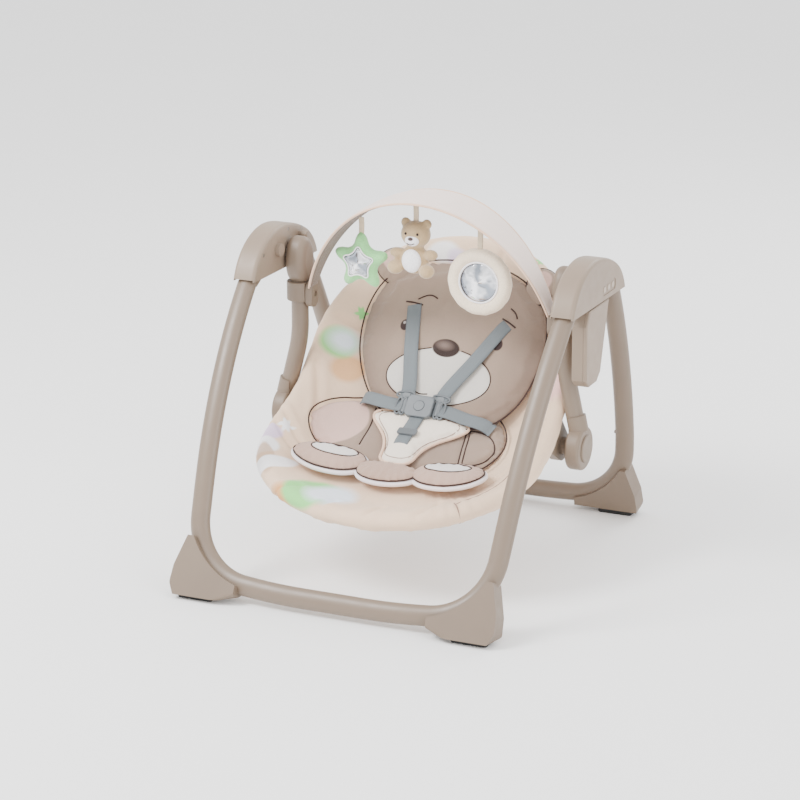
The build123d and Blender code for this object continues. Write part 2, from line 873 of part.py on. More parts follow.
def ball(centre, radius):
    with BuildPart() as sphere:
        with Locations(centre):
            Sphere(radius)
    return sphere.part


def bear_plush():
    x, z = BEAR_PLACE
    with BuildPart() as bear:
        add(ball((x, TOY_Y, z + 26), 23))
        add(ball((x, TOY_Y, z - 14), 25))
        for side in (-1, 1):
            add(ball((x + side * 18, TOY_Y + 2, z + 43), 8))
            add(ball((x + side * 29, TOY_Y - 6, z - 5), 10))
            add(ball((x + side * 26, TOY_Y - 12, z - 29), 11))
    return bear.part


def ring_plush():
    x, z = RING_PLACE
    with BuildPart() as ring:
        with BuildSketch(toy_plane(TOY_Y + 11)):
            with Locations((x, z)):
                Circle(54)
                Circle(32, mode=Mode.SUBTRACT)
        extrude(amount=22)
        fillet(ring.edges(), 8)
    return ring.part


def ring_mirror():
    x, z = RING_PLACE
    with BuildPart() as disc:
        with BuildSketch(toy_plane(TOY_Y + 3)):
            with Locations((x, z)):
                Circle(31.8)
        extrude(amount=4)
    return disc.part


def arch_underside(x):
    """Height of the arch's inner face above a point X."""
    rise = ARCH_TOP_Z - ARCH_BASE_Z - ARCH_THICKNESS
    share = x / (ARCH_HALF_WIDTH - ARCH_THICKNESS / 2)
    return ARCH_BASE_Z + rise * (1 - share * share) ** 0.5


def ribbon(place, low_z):
    """Loop that a toy hangs from, from the toy up to just under the arch."""
    x = place[0]
    high_z = min(arch_underside(x - 6), arch_underside(x + 6)) - 0.6
    return block(x - 6, x + 6, TOY_Y - 0.8, TOY_Y + 0.8, low_z, high_z)


# ---------------------------------------------------------------- write every piece


def main():
    os.makedirs("parts", exist_ok=True)
    frames = {
        "front": (FRONT_LEG_Y, FRONT_BAR_Y, -1, FRONT_PIVOT),
        "rear": (REAR_LEG_Y, REAR_BAR_Y, 1, REAR_PIVOT),
    }
    for name, (leg_y, bar_y, facing, pivot) in frames.items():
        save(base_tube(leg_y, bar_y, facing > 0), name + "_base_tube")
        save_both(oval_tube(leg_path(leg_y)), name + "_leg_tubes")
        save_both(knuckle(leg_y, pivot), name + "_knuckles")
        save_both(foot(leg_y, bar_y, facing), name + "_feet")
        save_both(foot_pad(bar_y, facing), name + "_foot_pads")

    save_pair(snap_button(REAR_LEG_Y), "snap_button")

    save_pair(hub_inner_shell(), "hub_inner_shell")
    save(hub_outer_shell(True), "hub_outer_shell_right")
    save(mirror(hub_outer_shell(False), about=Plane.YZ), "hub_outer_shell_left")
    save_both(hub_screws(), "hub_screws")
    save_both(pivot_pins(), "pivot_pins")
    save_both(axle_bush(), "axle_bushes")
    save_pair(fold_button(), "fold_button")
    for name, place in zip(("power", "speed", "melody"), PANEL_BUTTONS):
        save(panel_button(place), name + "_button")

    save(battery_box(), "battery_box")
    save(battery_door(), "battery_door")
    save(battery_cells(), "battery_cells")
    save(battery_contacts(), "battery_contacts")
    save(circuit_board(), "circuit_board")
    save(Compound(children=[drive_lever(), drive_magnet()]), "drive_lever")
    save(drive_coil(), "drive_coil")
    save(speaker(), "speaker")

    save_both(arm_head(), "arm_heads")
    save_both(arm_tube(), "arm_tubes")
    save(Compound(children=[swing_axle(265), mirror(swing_axle(260), about=Plane.YZ)]), "swing_axles")
    save_both(toy_bar_collar(), "toy_bar_collars")
    save_both(lower_hub(), "lower_hubs")
    save_pair(recline_button(), "recline_button")

    save(Compound(children=[back_tube(), front_tube()]), "seat_tubes")
    save_both(seat_bracket(), "seat_brackets")
    save(seat_fabric(), "seat_fabric")
    save(insert_back(), "insert_back")
    save(Compound(children=[insert_seat(), *insert_feet().solids()]), "insert_seat")
    save(crotch_pad(), "crotch_pad")

    save(harness_straps(), "harness_straps")
    save(buckle_body(), "buckle_body")
    save(buckle_button(), "buckle_button")
    save_both(buckle_tongue(), "buckle_tongues")
    save(strap_adjuster(), "strap_adjuster")

    save(toy_arch(), "toy_arch")
    save_both(arch_clip(5 + RUNNING_GAP), "arch_clips")
    save(star_plush(), "star_plush")
    save(star_mirror(), "star_mirror")
    save(ribbon(STAR_PLACE, 503.5), "star_ribbon")
    save(bear_plush(), "bear_plush")
    save(ribbon(BEAR_PLACE, 533.4), "bear_ribbon")
    save(ring_plush(), "ring_plush")
    save(ring_mirror(), "ring_mirror")
    save(ribbon(RING_PLACE, 499), "ring_ribbon")


main()
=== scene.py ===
"""Baby swing: soft pieces, materials, floor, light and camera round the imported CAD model.

The seat's pads and the toys are inflated with a short cloth simulation, and then creased and sewn.
"""

import json
from math import asin, cos, exp, pi, radians, sin, sqrt, tau

import bmesh
import bpy
import numpy as np
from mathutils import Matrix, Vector, noise
from mathutils.bvhtree import BVHTree


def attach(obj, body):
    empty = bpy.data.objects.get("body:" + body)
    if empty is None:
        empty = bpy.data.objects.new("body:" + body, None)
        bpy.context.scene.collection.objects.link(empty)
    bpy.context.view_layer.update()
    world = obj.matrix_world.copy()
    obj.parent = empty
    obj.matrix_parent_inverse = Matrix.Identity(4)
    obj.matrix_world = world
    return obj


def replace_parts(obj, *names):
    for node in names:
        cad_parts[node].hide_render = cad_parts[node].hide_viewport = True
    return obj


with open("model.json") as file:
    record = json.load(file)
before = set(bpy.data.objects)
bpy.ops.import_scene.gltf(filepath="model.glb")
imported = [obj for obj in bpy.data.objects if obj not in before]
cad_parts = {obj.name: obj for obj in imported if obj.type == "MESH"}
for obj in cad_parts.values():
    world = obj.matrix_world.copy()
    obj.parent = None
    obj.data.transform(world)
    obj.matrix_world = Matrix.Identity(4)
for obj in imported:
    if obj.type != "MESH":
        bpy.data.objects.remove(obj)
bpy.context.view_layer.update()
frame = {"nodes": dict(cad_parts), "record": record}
nodes = frame["nodes"]
MM = 0.001

# ---- the seat's shape
# A point on the seat is (u, v, h) in millimetres: u across, v up the back or (negative) towards the
# feet, h above the seat's surface. The back and front planes meet in a smooth bend.

FOLD = Vector((0, 35, 215))
BACK_DIR = Vector((0, cos(radians(46.3)), sin(radians(46.3))))
FRONT_DIR = Vector((0, cos(radians(19)), sin(radians(19))))
BEND = 60.0


def spine(v):
    """Point and direction of the seat's middle line."""
    if v >= BEND:
        return FOLD + BACK_DIR * v, BACK_DIR
    if v <= -BEND:
        return FOLD + FRONT_DIR * v, FRONT_DIR
    s = (v + BEND) / (2 * BEND)
    low, high = FOLD - FRONT_DIR * BEND, FOLD + BACK_DIR * BEND
    point = low * (1 - s) ** 2 + FOLD * (2 * s * (1 - s)) + high * s**2
    return point, ((FOLD - low) * (1 - s) + (high - FOLD) * s).normalized()


def seat(u, v, h):
    """A point of the seat, in metres."""
    point, along = spine(v)
    up = Vector((0, -along.z, along.y))
    return (point + up * h + Vector((u, 0, 0))) * MM


def seat_up(v):
    """The way up from the seat's surface at v."""
    along = spine(v)[1]
    return Vector((0, -along.z, along.y))


SPINE_V = np.arange(-330, 361, 2.0)
SPINE_P = np.array([tuple(spine(v)[0]) for v in SPINE_V])
SPINE_T = np.array([tuple(spine(v)[1]) for v in SPINE_V])


def flatten(coords):
    """The (u, v, h) of points given in metres."""
    p = np.asarray(coords) / MM
    gap = p[:, None, 1:] - SPINE_P[None, :, 1:]
    near = (gap**2).sum(2).argmin(1)
    rest = p[:, 1:] - SPINE_P[near, 1:]
    t = SPINE_T[near, 1:]
    v = SPINE_V[near] + (rest * t).sum(1)
    h = -rest[:, 0] * t[:, 1] + rest[:, 1] * t[:, 0]
    return np.stack([p[:, 0], v, h], 1)


def rim_outline(count):
    """Evenly spaced points of the seat tubes' centre line in (u, v), with their outward normals."""
    dense = []
    for a in np.linspace(0, pi, 160):
        dense.append((216 * cos(a), 110 + 210 * sin(a)))
    for a in np.linspace(pi, 2 * pi, 160):
        dense.append((225 * cos(a), -90 + 179 * sin(a)))
    dense = np.array(dense + dense[:1])
    length = np.concatenate([[0], np.cumsum(np.linalg.norm(np.diff(dense, axis=0), axis=1))])
    stops = np.linspace(0, length[-1], count, endpoint=False)
    points = np.stack([np.interp(stops, length, dense[:, k]) for k in (0, 1)], 1)
    tangent = np.roll(points, -1, 0) - np.roll(points, 1, 0)
    tangent /= np.linalg.norm(tangent, axis=1)[:, None]
    return points, np.stack([tangent[:, 1], -tangent[:, 0]], 1)


RIM, RIM_OUT = rim_outline(420)
# The cover's section from its lower hem over the tube and into the bowl: (outwards, h)
COVER_POINTS = [
    (-38, -28), (-33, -33), (-26, -31), (-14, -22), (-3, -14.5), (6, -8), (12, 0), (12, 8), (8, 14.5),
    (0, 18.5), (-9, 16.5), (-20, 11), (-33, 3), (-48, -5), (-66, -11), (-90, -16), (-120, -19),
]


def floor_height(u, v):
    """Height of the cover's inside at a point of the seat."""
    edge = -np.linalg.norm(RIM - np.array([u, v]), axis=1).min()
    inner = COVER_POINTS[9:][::-1]
    return float(np.interp(edge, [c[0] for c in inner], [c[1] for c in inner]))


# ---- mesh helpers


def add_object(name, data):
    obj = bpy.data.objects.new(name, data)
    bpy.context.scene.collection.objects.link(obj)
    return obj


def mesh_object(name, points, faces):
    mesh = bpy.data.meshes.new(name)
    mesh.from_pydata([tuple(p) for p in points], [], faces)
    mesh.update()
    mesh.shade_smooth()
    return add_object(name, mesh)


def bands(rows, count, wrap=False):
    """Quads between neighbouring rings of count points."""
    faces = []
    for r in range(rows if wrap else rows - 1):
        a, b = r * count, (r + 1) % rows * count
        for k in range(count):
            m = (k + 1) % count
            faces.append((a + k, a + m, b + m, b + k))
    return faces


def caps(rows, count):
    """The faces that close the first and the last ring."""
    last = (rows - 1) * count
    return [tuple(range(count)), tuple(last + k for k in range(count))[::-1]]


def outward(obj):
    """Turns every face of a mesh outwards."""
    bm = bmesh.new()
    bm.from_mesh(obj.data)
    bmesh.ops.recalc_face_normals(bm, faces=bm.faces)
    bm.to_mesh(obj.data)
    bm.free()
    return obj


def modify(obj, kind, **settings):
    """Adds a modifier and applies it."""
    modifier = obj.modifiers.new(kind.lower(), kind)
    for key, value in settings.items():
        setattr(modifier, key, value)
    graph = bpy.context.evaluated_depsgraph_get()
    mesh = bpy.data.meshes.new_from_object(obj.evaluated_get(graph))
    obj.modifiers.clear()
    obj.data = mesh
    mesh.shade_smooth()
    return obj


def coords_of(obj):
    co = np.empty(len(obj.data.vertices) * 3)
    obj.data.vertices.foreach_get("co", co)
    return co.reshape(-1, 3)


def set_coords(obj, co):
    obj.data.vertices.foreach_set("co", np.asarray(co, float).ravel())
    obj.data.update()


def set_uv(obj, uv, name="flat"):
    """Writes a UV map from one (x, y) per vertex."""
    layer = obj.data.uv_layers.get(name) or obj.data.uv_layers.new(name=name)
    index = np.empty(len(obj.data.loops), int)
    obj.data.loops.foreach_get("vertex_index", index)
    layer.data.foreach_set("uv", np.asarray(uv, float)[index].ravel())


def seat_uv(obj):
    set_uv(obj, flatten(coords_of(obj))[:, :2] * MM)


def paint(obj, material):
    obj.data.materials.clear()
    obj.data.materials.append(material)
    return obj


def smooth_loop(points, rounds=2):
    """Rounds a closed outline by cutting its corners."""
    p = np.asarray(points, float)
    for _ in range(rounds):
        q = np.roll(p, -1, 0)
        p = np.stack([0.75 * p + 0.25 * q, 0.25 * p + 0.75 * q], 1).reshape(-1, p.shape[1])
    return p


def smooth_line(points, rounds=3):
    """Rounds an open line and keeps its ends."""
    p = [np.asarray(q, float) for q in points]
    for _ in range(rounds):
        out = [p[0]]
        for a, b in zip(p, p[1:]):
            out += [0.75 * a + 0.25 * b, 0.25 * a + 0.75 * b]
        p = out + [p[-1]]
    return np.array(p)


def even(points, step, closed=False):
    """Points at an even spacing along a line."""
    p = np.asarray(points, float)
    if closed:
        p = np.vstack([p, p[:1]])
    length = np.concatenate([[0], np.cumsum(np.linalg.norm(np.diff(p, axis=0), axis=1))])
    count = max(int(round(length[-1] / step)), 3)
    stops = np.linspace(0, length[-1], count, endpoint=not closed)
    return np.stack([np.interp(stops, length, p[:, k]) for k in range(p.shape[1])], 1)


def circle(count):
    """Evenly spaced angles round a full turn."""
    return np.linspace(0, tau, count, endpoint=False)


def tube(name, points, radius, closed=False, sides=8):
    """Round cord along points in metres."""
    p = [Vector(q) for q in points]
    count = len(p)
    verts, normal = [], None
    for i in range(count):
        before = p[i - 1] if (i or closed) else p[i]
        after = p[(i + 1) % count] if (i < count - 1 or closed) else p[i]
        along = (after - before).normalized()
        if normal is None:
            normal = along.orthogonal().normalized()
        normal = (normal - along * normal.dot(along)).normalized()
        side = along.cross(normal)
        verts += [p[i] + (normal * cos(a) + side * sin(a)) * radius for a in circle(sides)]
    faces = bands(count, sides, closed)
    if not closed:
        faces += caps(count, sides)
    return outward(mesh_object(name, verts, faces))


def join(name, parts):
    """Several meshes with one material as one piece."""
    bm = bmesh.new()
    for part in parts:
        bm.from_mesh(part.data)
        bpy.data.objects.remove(part)
    mesh = bpy.data.meshes.new(name)
    bm.to_mesh(mesh)
    bm.free()
    mesh.shade_smooth()
    return add_object(name, mesh)


def ribbon(name, centres, widths, ups, width, thickness):
    """Flat webbing with rounded edges. All points in metres, width and thickness in millimetres."""
    w, t = width / 2 * MM, thickness / 2 * MM
    section = [(-w, 0), (-w * 0.97, t), (-w * 0.5, t), (0, t), (w * 0.5, t), (w * 0.97, t), (w, 0)]
    section += [(x, -y) for x, y in section[-2:0:-1]]
    verts, uv, run = [], [], 0.0
    for i, (c, side, up) in enumerate(zip(centres, widths, ups)):
        if i:
            run += (Vector(c) - Vector(centres[i - 1])).length
        for x, y in section:
            verts.append(Vector(c) + Vector(side) * x + Vector(up) * y)
            uv.append((x, run))
    size = len(centres), len(section)
    obj = mesh_object(name, verts, bands(*size) + caps(*size))
    set_uv(obj, uv)
    return obj


def surface_of(*objs):
    """A search tree of shown surfaces, to lay things on."""
    verts, faces = [], []
    for obj in objs:
        start = len(verts)
        verts += [tuple(v.co) for v in obj.data.vertices]
        faces += [tuple(start + i for i in f.vertices) for f in obj.data.polygons]
    return BVHTree.FromPolygons(verts, faces)


def lay_on(tree, u, v, lift):
    """The point lift millimetres above the highest surface at (u, v), looked for from 60 mm up."""
    up = seat_up(v)
    hit = tree.ray_cast(seat(u, v, 60.0), -up)[0]
    if hit is None:
        return seat(u, v, 10.0 + lift)
    return hit + up * lift * MM


# ---- materials


class Nodes:
    """Short calls for building a node material."""

    def __init__(self, name, rough=0.5, metallic=0.0, **constants):
        self.material = bpy.data.materials.new(name)
        self.material.use_nodes = True
        self.tree = self.material.node_tree
        self.shader = self.tree.nodes["Principled BSDF"]
        self.fill(self.shader, Roughness=rough, Metallic=metallic, **constants)

    def node(self, kind, **settings):
        made = self.tree.nodes.new(kind)
        for key, value in settings.items():
            setattr(made, key, value)
        return made

    def link(self, source, target):
        self.tree.links.new(source, target)

    def put(self, socket, value):
        if isinstance(value, bpy.types.NodeSocket):
            self.link(value, socket)
        else:
            socket.default_value = value

    def place(self, uv=None):
        """Coordinates in metres: the object's own, or those of a UV map."""
        if uv:
            return self.node("ShaderNodeUVMap", uv_map=uv).outputs["UV"]
        return self.node("ShaderNodeTexCoord").outputs["Object"]

    def fill(self, made, **values):
        for key, value in values.items():
            made.inputs[key.replace("_", " ")].default_value = value

    def texture(self, made, place, **values):
        self.link(place, made.inputs["Vector"])
        self.fill(made, **values)
        return made.outputs["Fac"]

    def noise(self, place, scale, detail=2.0, rough=0.5):
        made = self.node("ShaderNodeTexNoise")
        return self.texture(made, place, Scale=scale, Detail=detail, Roughness=rough)

    def wave(self, place, scale, axis, distortion):
        made = self.node("ShaderNodeTexWave", bands_direction=axis)
        return self.texture(made, place, Scale=scale, Distortion=distortion, Detail=1.0)

    def math(self, operation, a, b=0.0):
        made = self.node("ShaderNodeMath", operation=operation)
        self.put(made.inputs[0], a)
        self.put(made.inputs[1], b)
        return made.outputs[0]

    def mix(self, amount, a, b, blend="MIX"):
        made = self.node("ShaderNodeMix", data_type="RGBA", blend_type=blend)
        self.put(made.inputs["Factor"], amount)
        self.put(made.inputs[6], a)
        self.put(made.inputs[7], b)
        return made.outputs[2]

    def spread(self, value, low, high, to_low=0.0, to_high=1.0):
        made = self.node("ShaderNodeMapRange")
        self.link(value, made.inputs["Value"])
        self.fill(made, From_Min=low, From_Max=high, To_Min=to_low, To_Max=to_high)
        return made.outputs["Result"]

    def soft_oval(self, place, centre, radii, turn, soft, strength):
        return self.math("MULTIPLY", self.oval(place, centre, radii, turn, soft), strength)

    def map(self, place, kind, **values):
        made = self.node("ShaderNodeMapping", vector_type=kind)
        self.link(place, made.inputs["Vector"])
        self.fill(made, **values)
        return made.outputs[0]

    def oval(self, place, centre, radii, turn, soft):
        """1 inside an oval given in millimetres, 0 outside, with an edge this soft."""
        mapping = self.map(
            place, "TEXTURE", Location=(centre[0] * MM, centre[1] * MM, 0), Rotation=(0, 0, radians(turn)),
            Scale=(radii[0] * MM, radii[1] * MM, 1),
        )
        length = self.node("ShaderNodeVectorMath", operation="LENGTH")
        self.link(mapping, length.inputs[0])
        return self.spread(length.outputs["Value"], 1 + soft, 1 - soft)

    def bump(self, height, strength, distance=0.001):
        made = self.node("ShaderNodeBump")
        self.fill(made, Strength=strength, Distance=distance)
        self.link(height, made.inputs["Height"])
        self.link(made.outputs["Normal"], self.shader.inputs["Normal"])

    def colour(self, value):
        self.put(self.shader.inputs["Base Color"], value)

    def rough(self, value):
        self.link(value, self.shader.inputs["Roughness"])


def rgb(r, g, b):
    """A colour from its sRGB numbers, 0 to 255."""
    out = []
    for c in (r, g, b):
        c /= 255
        out.append(c / 12.92 if c <= 0.04045 else ((c + 0.055) / 1.055) ** 2.4)
    return (*out, 1.0)


def shade(colour, by):
    return (colour[0] * by, colour[1] * by, colour[2] * by, 1.0)


def plastic(name, colour, rough=0.42, grain=900.0, depth=0.05):
    """Moulded plastic: fine spark-eroded grain and a slight unevenness of tone."""
    m = Nodes(name, rough)
    place = m.place()
    tone = m.noise(place, 14.0, 3.0)
    m.colour(m.mix(m.spread(tone, 0.3, 0.7), shade(colour, 0.95), shade(colour, 1.04)))
    fine = m.noise(place, grain, 2.0, 0.6)
    m.rough(m.spread(m.noise(place, 60.0, 2.0), 0.3, 0.7, rough - 0.04, rough + 0.05))
    m.bump(fine, depth * 4, 0.0004)
    return m.material


def coated(name, colour):
    """Powder-coated steel tube with a soft orange-peel skin."""
    m = Nodes(name, 0.38, Coat_Weight=0.15, Coat_Roughness=0.35)
    place = m.place()
    tone = m.noise(place, 9.0, 3.0)
    m.colour(m.mix(m.spread(tone, 0.3, 0.7), shade(colour, 0.96), shade(colour, 1.03)))
    peel = m.noise(place, 420.0, 2.0, 0.5)
    m.rough(m.spread(m.noise(place, 35.0, 2.0), 0.3, 0.7, 0.34, 0.44))
    m.bump(peel, 0.12, 0.0004)
    return m.material


def metal(name, colour, rough=0.3, stretch=40.0):
    """Brushed metal with fine scratches along one way."""
    m = Nodes(name, rough, 1.0)
    lines = m.noise(m.map(m.place(), "POINT", Scale=(1, stretch, stretch)), 60.0, 3.0, 0.6)
    m.colour(m.mix(lines, shade(colour, 0.85), shade(colour, 1.1)))
    m.rough(m.spread(lines, 0.3, 0.7, rough - 0.08, rough + 0.12))
    m.bump(lines, 0.1, 0.0003)
    return m.material


def weave_height(m, place, scale):
    """Height of a plain weave: two crossed sets of threads, with a little slub."""
    across = m.wave(place, scale, "X", 0.6)
    along = m.wave(place, scale, "Y", 0.6)
    threads = m.math("MULTIPLY", across, along)
    slub = m.noise(place, scale * 0.9, 3.0, 0.6)
    return m.math("ADD", threads, m.math("MULTIPLY", slub, 0.8))


def cloth(name, colour, uv=None, scale=300.0, overlay=None, depth=0.25, sheen=0.25, rough=0.85):
    """Printed woven cloth. The overlay function adds printed shapes, and on some pieces painted shade and
    light, to the colour before the weave is laid over it.
    """
    m = Nodes(name, rough, Sheen_Weight=sheen, Sheen_Roughness=0.45, Specular_IOR_Level=0.25)
    place = m.place(uv)
    height = weave_height(m, place, scale)
    base = overlay(m, place, colour) if overlay else colour
    cloudy = m.noise(m.place(), 7.0, 3.0)
    shadow = m.mix(m.spread(cloudy, 0.3, 0.7), (0.93, 0.93, 0.93, 1), (1.03, 1.03, 1.03, 1))
    thread = m.mix(m.spread(height, 0.2, 1.2), (0.9, 0.9, 0.9, 1), (1.05, 1.05, 1.05, 1))
    m.colour(m.mix(1.0, m.mix(1.0, base, shadow, "MULTIPLY"), thread, "MULTIPLY"))
    wrinkle = m.noise(m.place(), 34.0, 3.0, 0.55)
    m.bump(m.math("ADD", height, m.math("MULTIPLY", wrinkle, 3.2)), depth * 1.5, 0.0011)
    return m.material


def plush(name, colour):
    """Short-pile plush: tufts of slightly lighter tips."""
    m = Nodes(name, 0.95, Sheen_Weight=0.6, Sheen_Roughness=0.5, Specular_IOR_Level=0.15)
    place = m.place()
    tuft = m.noise(place, 520.0, 4.0, 0.7)
    tone = m.mix(m.spread(tuft, 0.3, 0.7), (0.84, 0.84, 0.84, 1), (1.12, 1.12, 1.12, 1))
    m.colour(m.mix(1.0, colour, tone, "MULTIPLY"))
    m.bump(m.math("ADD", tuft, m.math("MULTIPLY", m.noise(place, 90.0, 2.0), 1.5)), 0.6, 0.0009)
    return m.material


def webbing(name, colour):
    """Woven strap: ribs across, and a bound edge along each side."""
    m = Nodes(name, 0.7, Sheen_Weight=0.2, Sheen_Roughness=0.4)
    place = m.place("flat")
    ribs = m.wave(place, 330.0, "Y", 0.4)
    cords = m.wave(place, 210.0, "X", 0.4)
    height = m.math("ADD", ribs, m.math("MULTIPLY", cords, 0.7))
    split = m.node("ShaderNodeSeparateXYZ")
    m.link(place, split.inputs[0])
    edge = m.spread(m.math("ABSOLUTE", split.outputs["X"]), 0.0098, 0.0106)
    tone = m.mix(m.spread(height, 0.3, 1.5), shade(colour, 0.9), shade(colour, 1.08))
    m.colour(m.mix(m.math("MULTIPLY", edge, 0.35), tone, shade(colour, 0.7)))
    m.bump(height, 0.35, 0.0006)
    return m.material


def mirror_foil(name, centre):
    """Flexible mirror foil with a radial buckle round its middle, given as (x, z). Its colour is painted in
    dark and light wedges round the middle as its reflection.
    """
    m = Nodes(name, 0.12, 1.0)
    place = m.place()
    middle = (centre[0] * MM, 0, centre[1] * MM)
    facing = m.map(place, "TEXTURE", Location=middle, Rotation=(radians(90), 0, 0))
    turn = m.node("ShaderNodeTexGradient", gradient_type="RADIAL")
    m.link(facing, turn.inputs["Vector"])
    wide = m.noise(place, 22.0, 3.0, 0.55)
    turns = m.math("ADD", turn.outputs["Fac"], m.math("MULTIPLY", wide, 0.95))
    buckle_and_painted_reflection = m.spread(m.math("SINE", m.math("MULTIPLY", turns, tau * 2)), -0.9, 0.9)
    # Painted reflection: dark and light wedges in the base colour stand in for what the mirror reflects; the
    # same wedges also bump the foil.
    m.colour(m.mix(buckle_and_painted_reflection, (0.30, 0.33, 0.38, 1), (0.97, 0.97, 1.0, 1)))
    m.rough(m.spread(wide, 0.3, 0.7, 0.08, 0.24))
    m.bump(m.math("ADD", buckle_and_painted_reflection, wide), 0.35, 0.004)
    return m.material


TAUPE = rgb(118, 102, 87)
HOUSING = rgb(136, 119, 103)
CREAM = rgb(239, 208, 179)
BROWN = rgb(160, 138, 122)
PINKISH = rgb(214, 178, 166)
DARK = rgb(62, 45, 41)
GREY = rgb(107, 114, 118)
PEACH = rgb(248, 210, 182)

# Finishes of the CAD pieces, by the record's material slot
LOOKS = {
    "hub_plastic": plastic("hub_plastic", HOUSING, 0.45),
    "frame_plastic": plastic("frame_plastic", TAUPE, 0.45),
    "frame_tube": coated("tube_paint", TAUPE),
    "pad_rubber": plastic("pad_rubber", rgb(28, 28, 28), 0.75, 500.0, 0.12),
    "steel": metal("steel", (0.27, 0.25, 0.23, 1), 0.42),
    "bush_plastic": plastic("bush_plastic", rgb(228, 226, 220), 0.4),
    "cell_wrap": plastic("cell_wrap", rgb(50, 52, 60), 0.28, 300.0, 0.02),
    "board_green": plastic("board_green", rgb(44, 96, 62), 0.5, 260.0, 0.2),
    "coil_copper": metal("copper", (0.72, 0.36, 0.18, 1), 0.3, 90.0),
    "button_plastic": plastic("button_plastic", rgb(166, 150, 135), 0.4),
    "buckle_plastic": plastic("buckle_plastic", rgb(94, 99, 103), 0.4, 1100.0),
}
for part in frame["record"]["subparts"]:
    if part["material_slot"] in LOOKS:
        paint(nodes[part["node"]], LOOKS[part["material_slot"]])


# ---- prints


def spots(m, place, c, rows):
    """Ovals laid over a colour one after another: centre, radii, turn, softness, strength, colour."""
    for centre, radii, turn, soft, strength, colour in rows:
        c = m.mix(m.soft_oval(place, centre, radii, turn, soft, strength), c, colour)
    return c


def cover_prints(m, place, base):
    """Blurred pastel balloons, clouds and small stars."""
    white, mint, sky = rgb(252, 250, 252), rgb(142, 218, 128), rgb(232, 240, 250)
    lilac, sand, rose = rgb(228, 210, 234), rgb(226, 168, 108), rgb(240, 186, 186)
    c = spots(m, place, base, [
        ((-158, 74), (28, 23), 10, 0.2, 0.75, sand),
        ((-184, 114), (29, 26), 0, 0.18, 0.9, mint),
        ((-177, 119), (22, 18), 0, 0.5, 0.95, sky),
        ((-226, -104), (25, 20), 20, 0.1, 1.0, rgb(222, 200, 226)),
        ((-219, -140), (27, 23), 30, 0.1, 1.0, white),
        ((-200, -168), (15, 40), 30, 0.1, 0.8, rgb(206, 170, 140)),
        ((-186, -176), (42, 16), 45, 0.1, 1.0, white),
        ((-136, -246), (28, 22), 0, 0.3, 1.0, sand),
        ((-94, -224), (46, 48), -20, 0.1, 1.0, mint),
        ((-66, -218), (38, 38), -20, 0.25, 1.0, sky),
        ((-50, 296), (25, 16), 10, 0.2, 0.95, white),
        ((-24, 290), (19, 13), -10, 0.25, 0.9, lilac),
        ((206, 92), (26, 36), 0, 0.25, 0.7, rose),
    ])
    stars = ((-163, 172), mint, 1.1), ((-206, -76), white, 1.4), ((120, 300), mint, 1.0)
    for centre, colour, size in stars:
        for turn in (90, 18, -54):
            c = m.mix(m.oval(place, centre, (10 * size, 3.0 * size), turn, 0.2), c, colour)
    return c


LINING_V = 0.5


def ear_prints(m, place, base):
    """Pinkish inside of each ear."""
    c = m.mix(m.oval(place, (-124, 262), (17, 16), 0, 0.1), base, PINKISH)
    return m.mix(m.oval(place, (140, 254), (17, 16), 0, 0.1), c, PINKISH)


def arch_lining_painted_shade(m, place, base):
    """The lining is painted darker, as shade on the bow's inner face. Its UVs are laid LINING_V away from the
    outside's.
    """
    split = m.node("ShaderNodeSeparateXYZ")
    m.link(place, split.inputs[0])
    # Painted shade: the lining's darker colour stands in for the shade inside the bow.
    return m.mix(m.spread(split.outputs["Y"], LINING_V - 0.3, LINING_V - 0.2), base, rgb(124, 105, 94))


def head_prints_and_painted_shade(m, place, base):
    """A plain animal face: pale muzzle, rounded nose and two eyes, over painted shade towards the head's
    sides and painted light on its upper middle.
    """
    nose, glow = rgb(50, 35, 31), rgb(150, 128, 118)
    # Painted shade: the head is darker outside a large oval, towards its sides.
    c = m.mix(m.oval(place, (8, 140), (142, 168), 0, 0.5), rgb(122, 101, 88), base)
    # Painted light: a soft lighter patch on the head's upper middle.
    c = m.mix(m.soft_oval(place, (8, 158), (120, 90), 0, 0.5, 0.3), c, rgb(172, 150, 134))
    c = m.mix(m.oval(place, (8, 70), (89, 52), -2, 0.012), c, rgb(216, 210, 202))
    c = m.mix(m.oval(place, (7, 122), (24, 16), -8, 0.05), c, nose)
    c = m.mix(m.soft_oval(place, (3, 127), (12, 6.5), -10, 0.7, 0.6), c, glow)
    for x, y in ((-75, 155), (92, 139)):
        c = m.mix(m.oval(place, (x, y), (8, 10), 0, 0.08), c, rgb(58, 42, 40))
        c = m.mix(m.oval(place, (x - 2, y + 4), (2.2, 2.6), 0, 0.3), c, rgb(190, 180, 176))
    return c


def body_prints_and_painted_shade(m, place, base):
    """A pale paw, and painted shade on the legs round the crotch guard."""
    # Painted shade: a soft darker oval under and round the crotch guard.
    c = m.mix(m.soft_oval(place, (0, -60), (96, 70), 0, 0.5, 0.5), base, rgb(136, 114, 101))
    return m.mix(m.oval(place, (-140, -34), (56, 58), 18, 0.03), c, PINKISH)


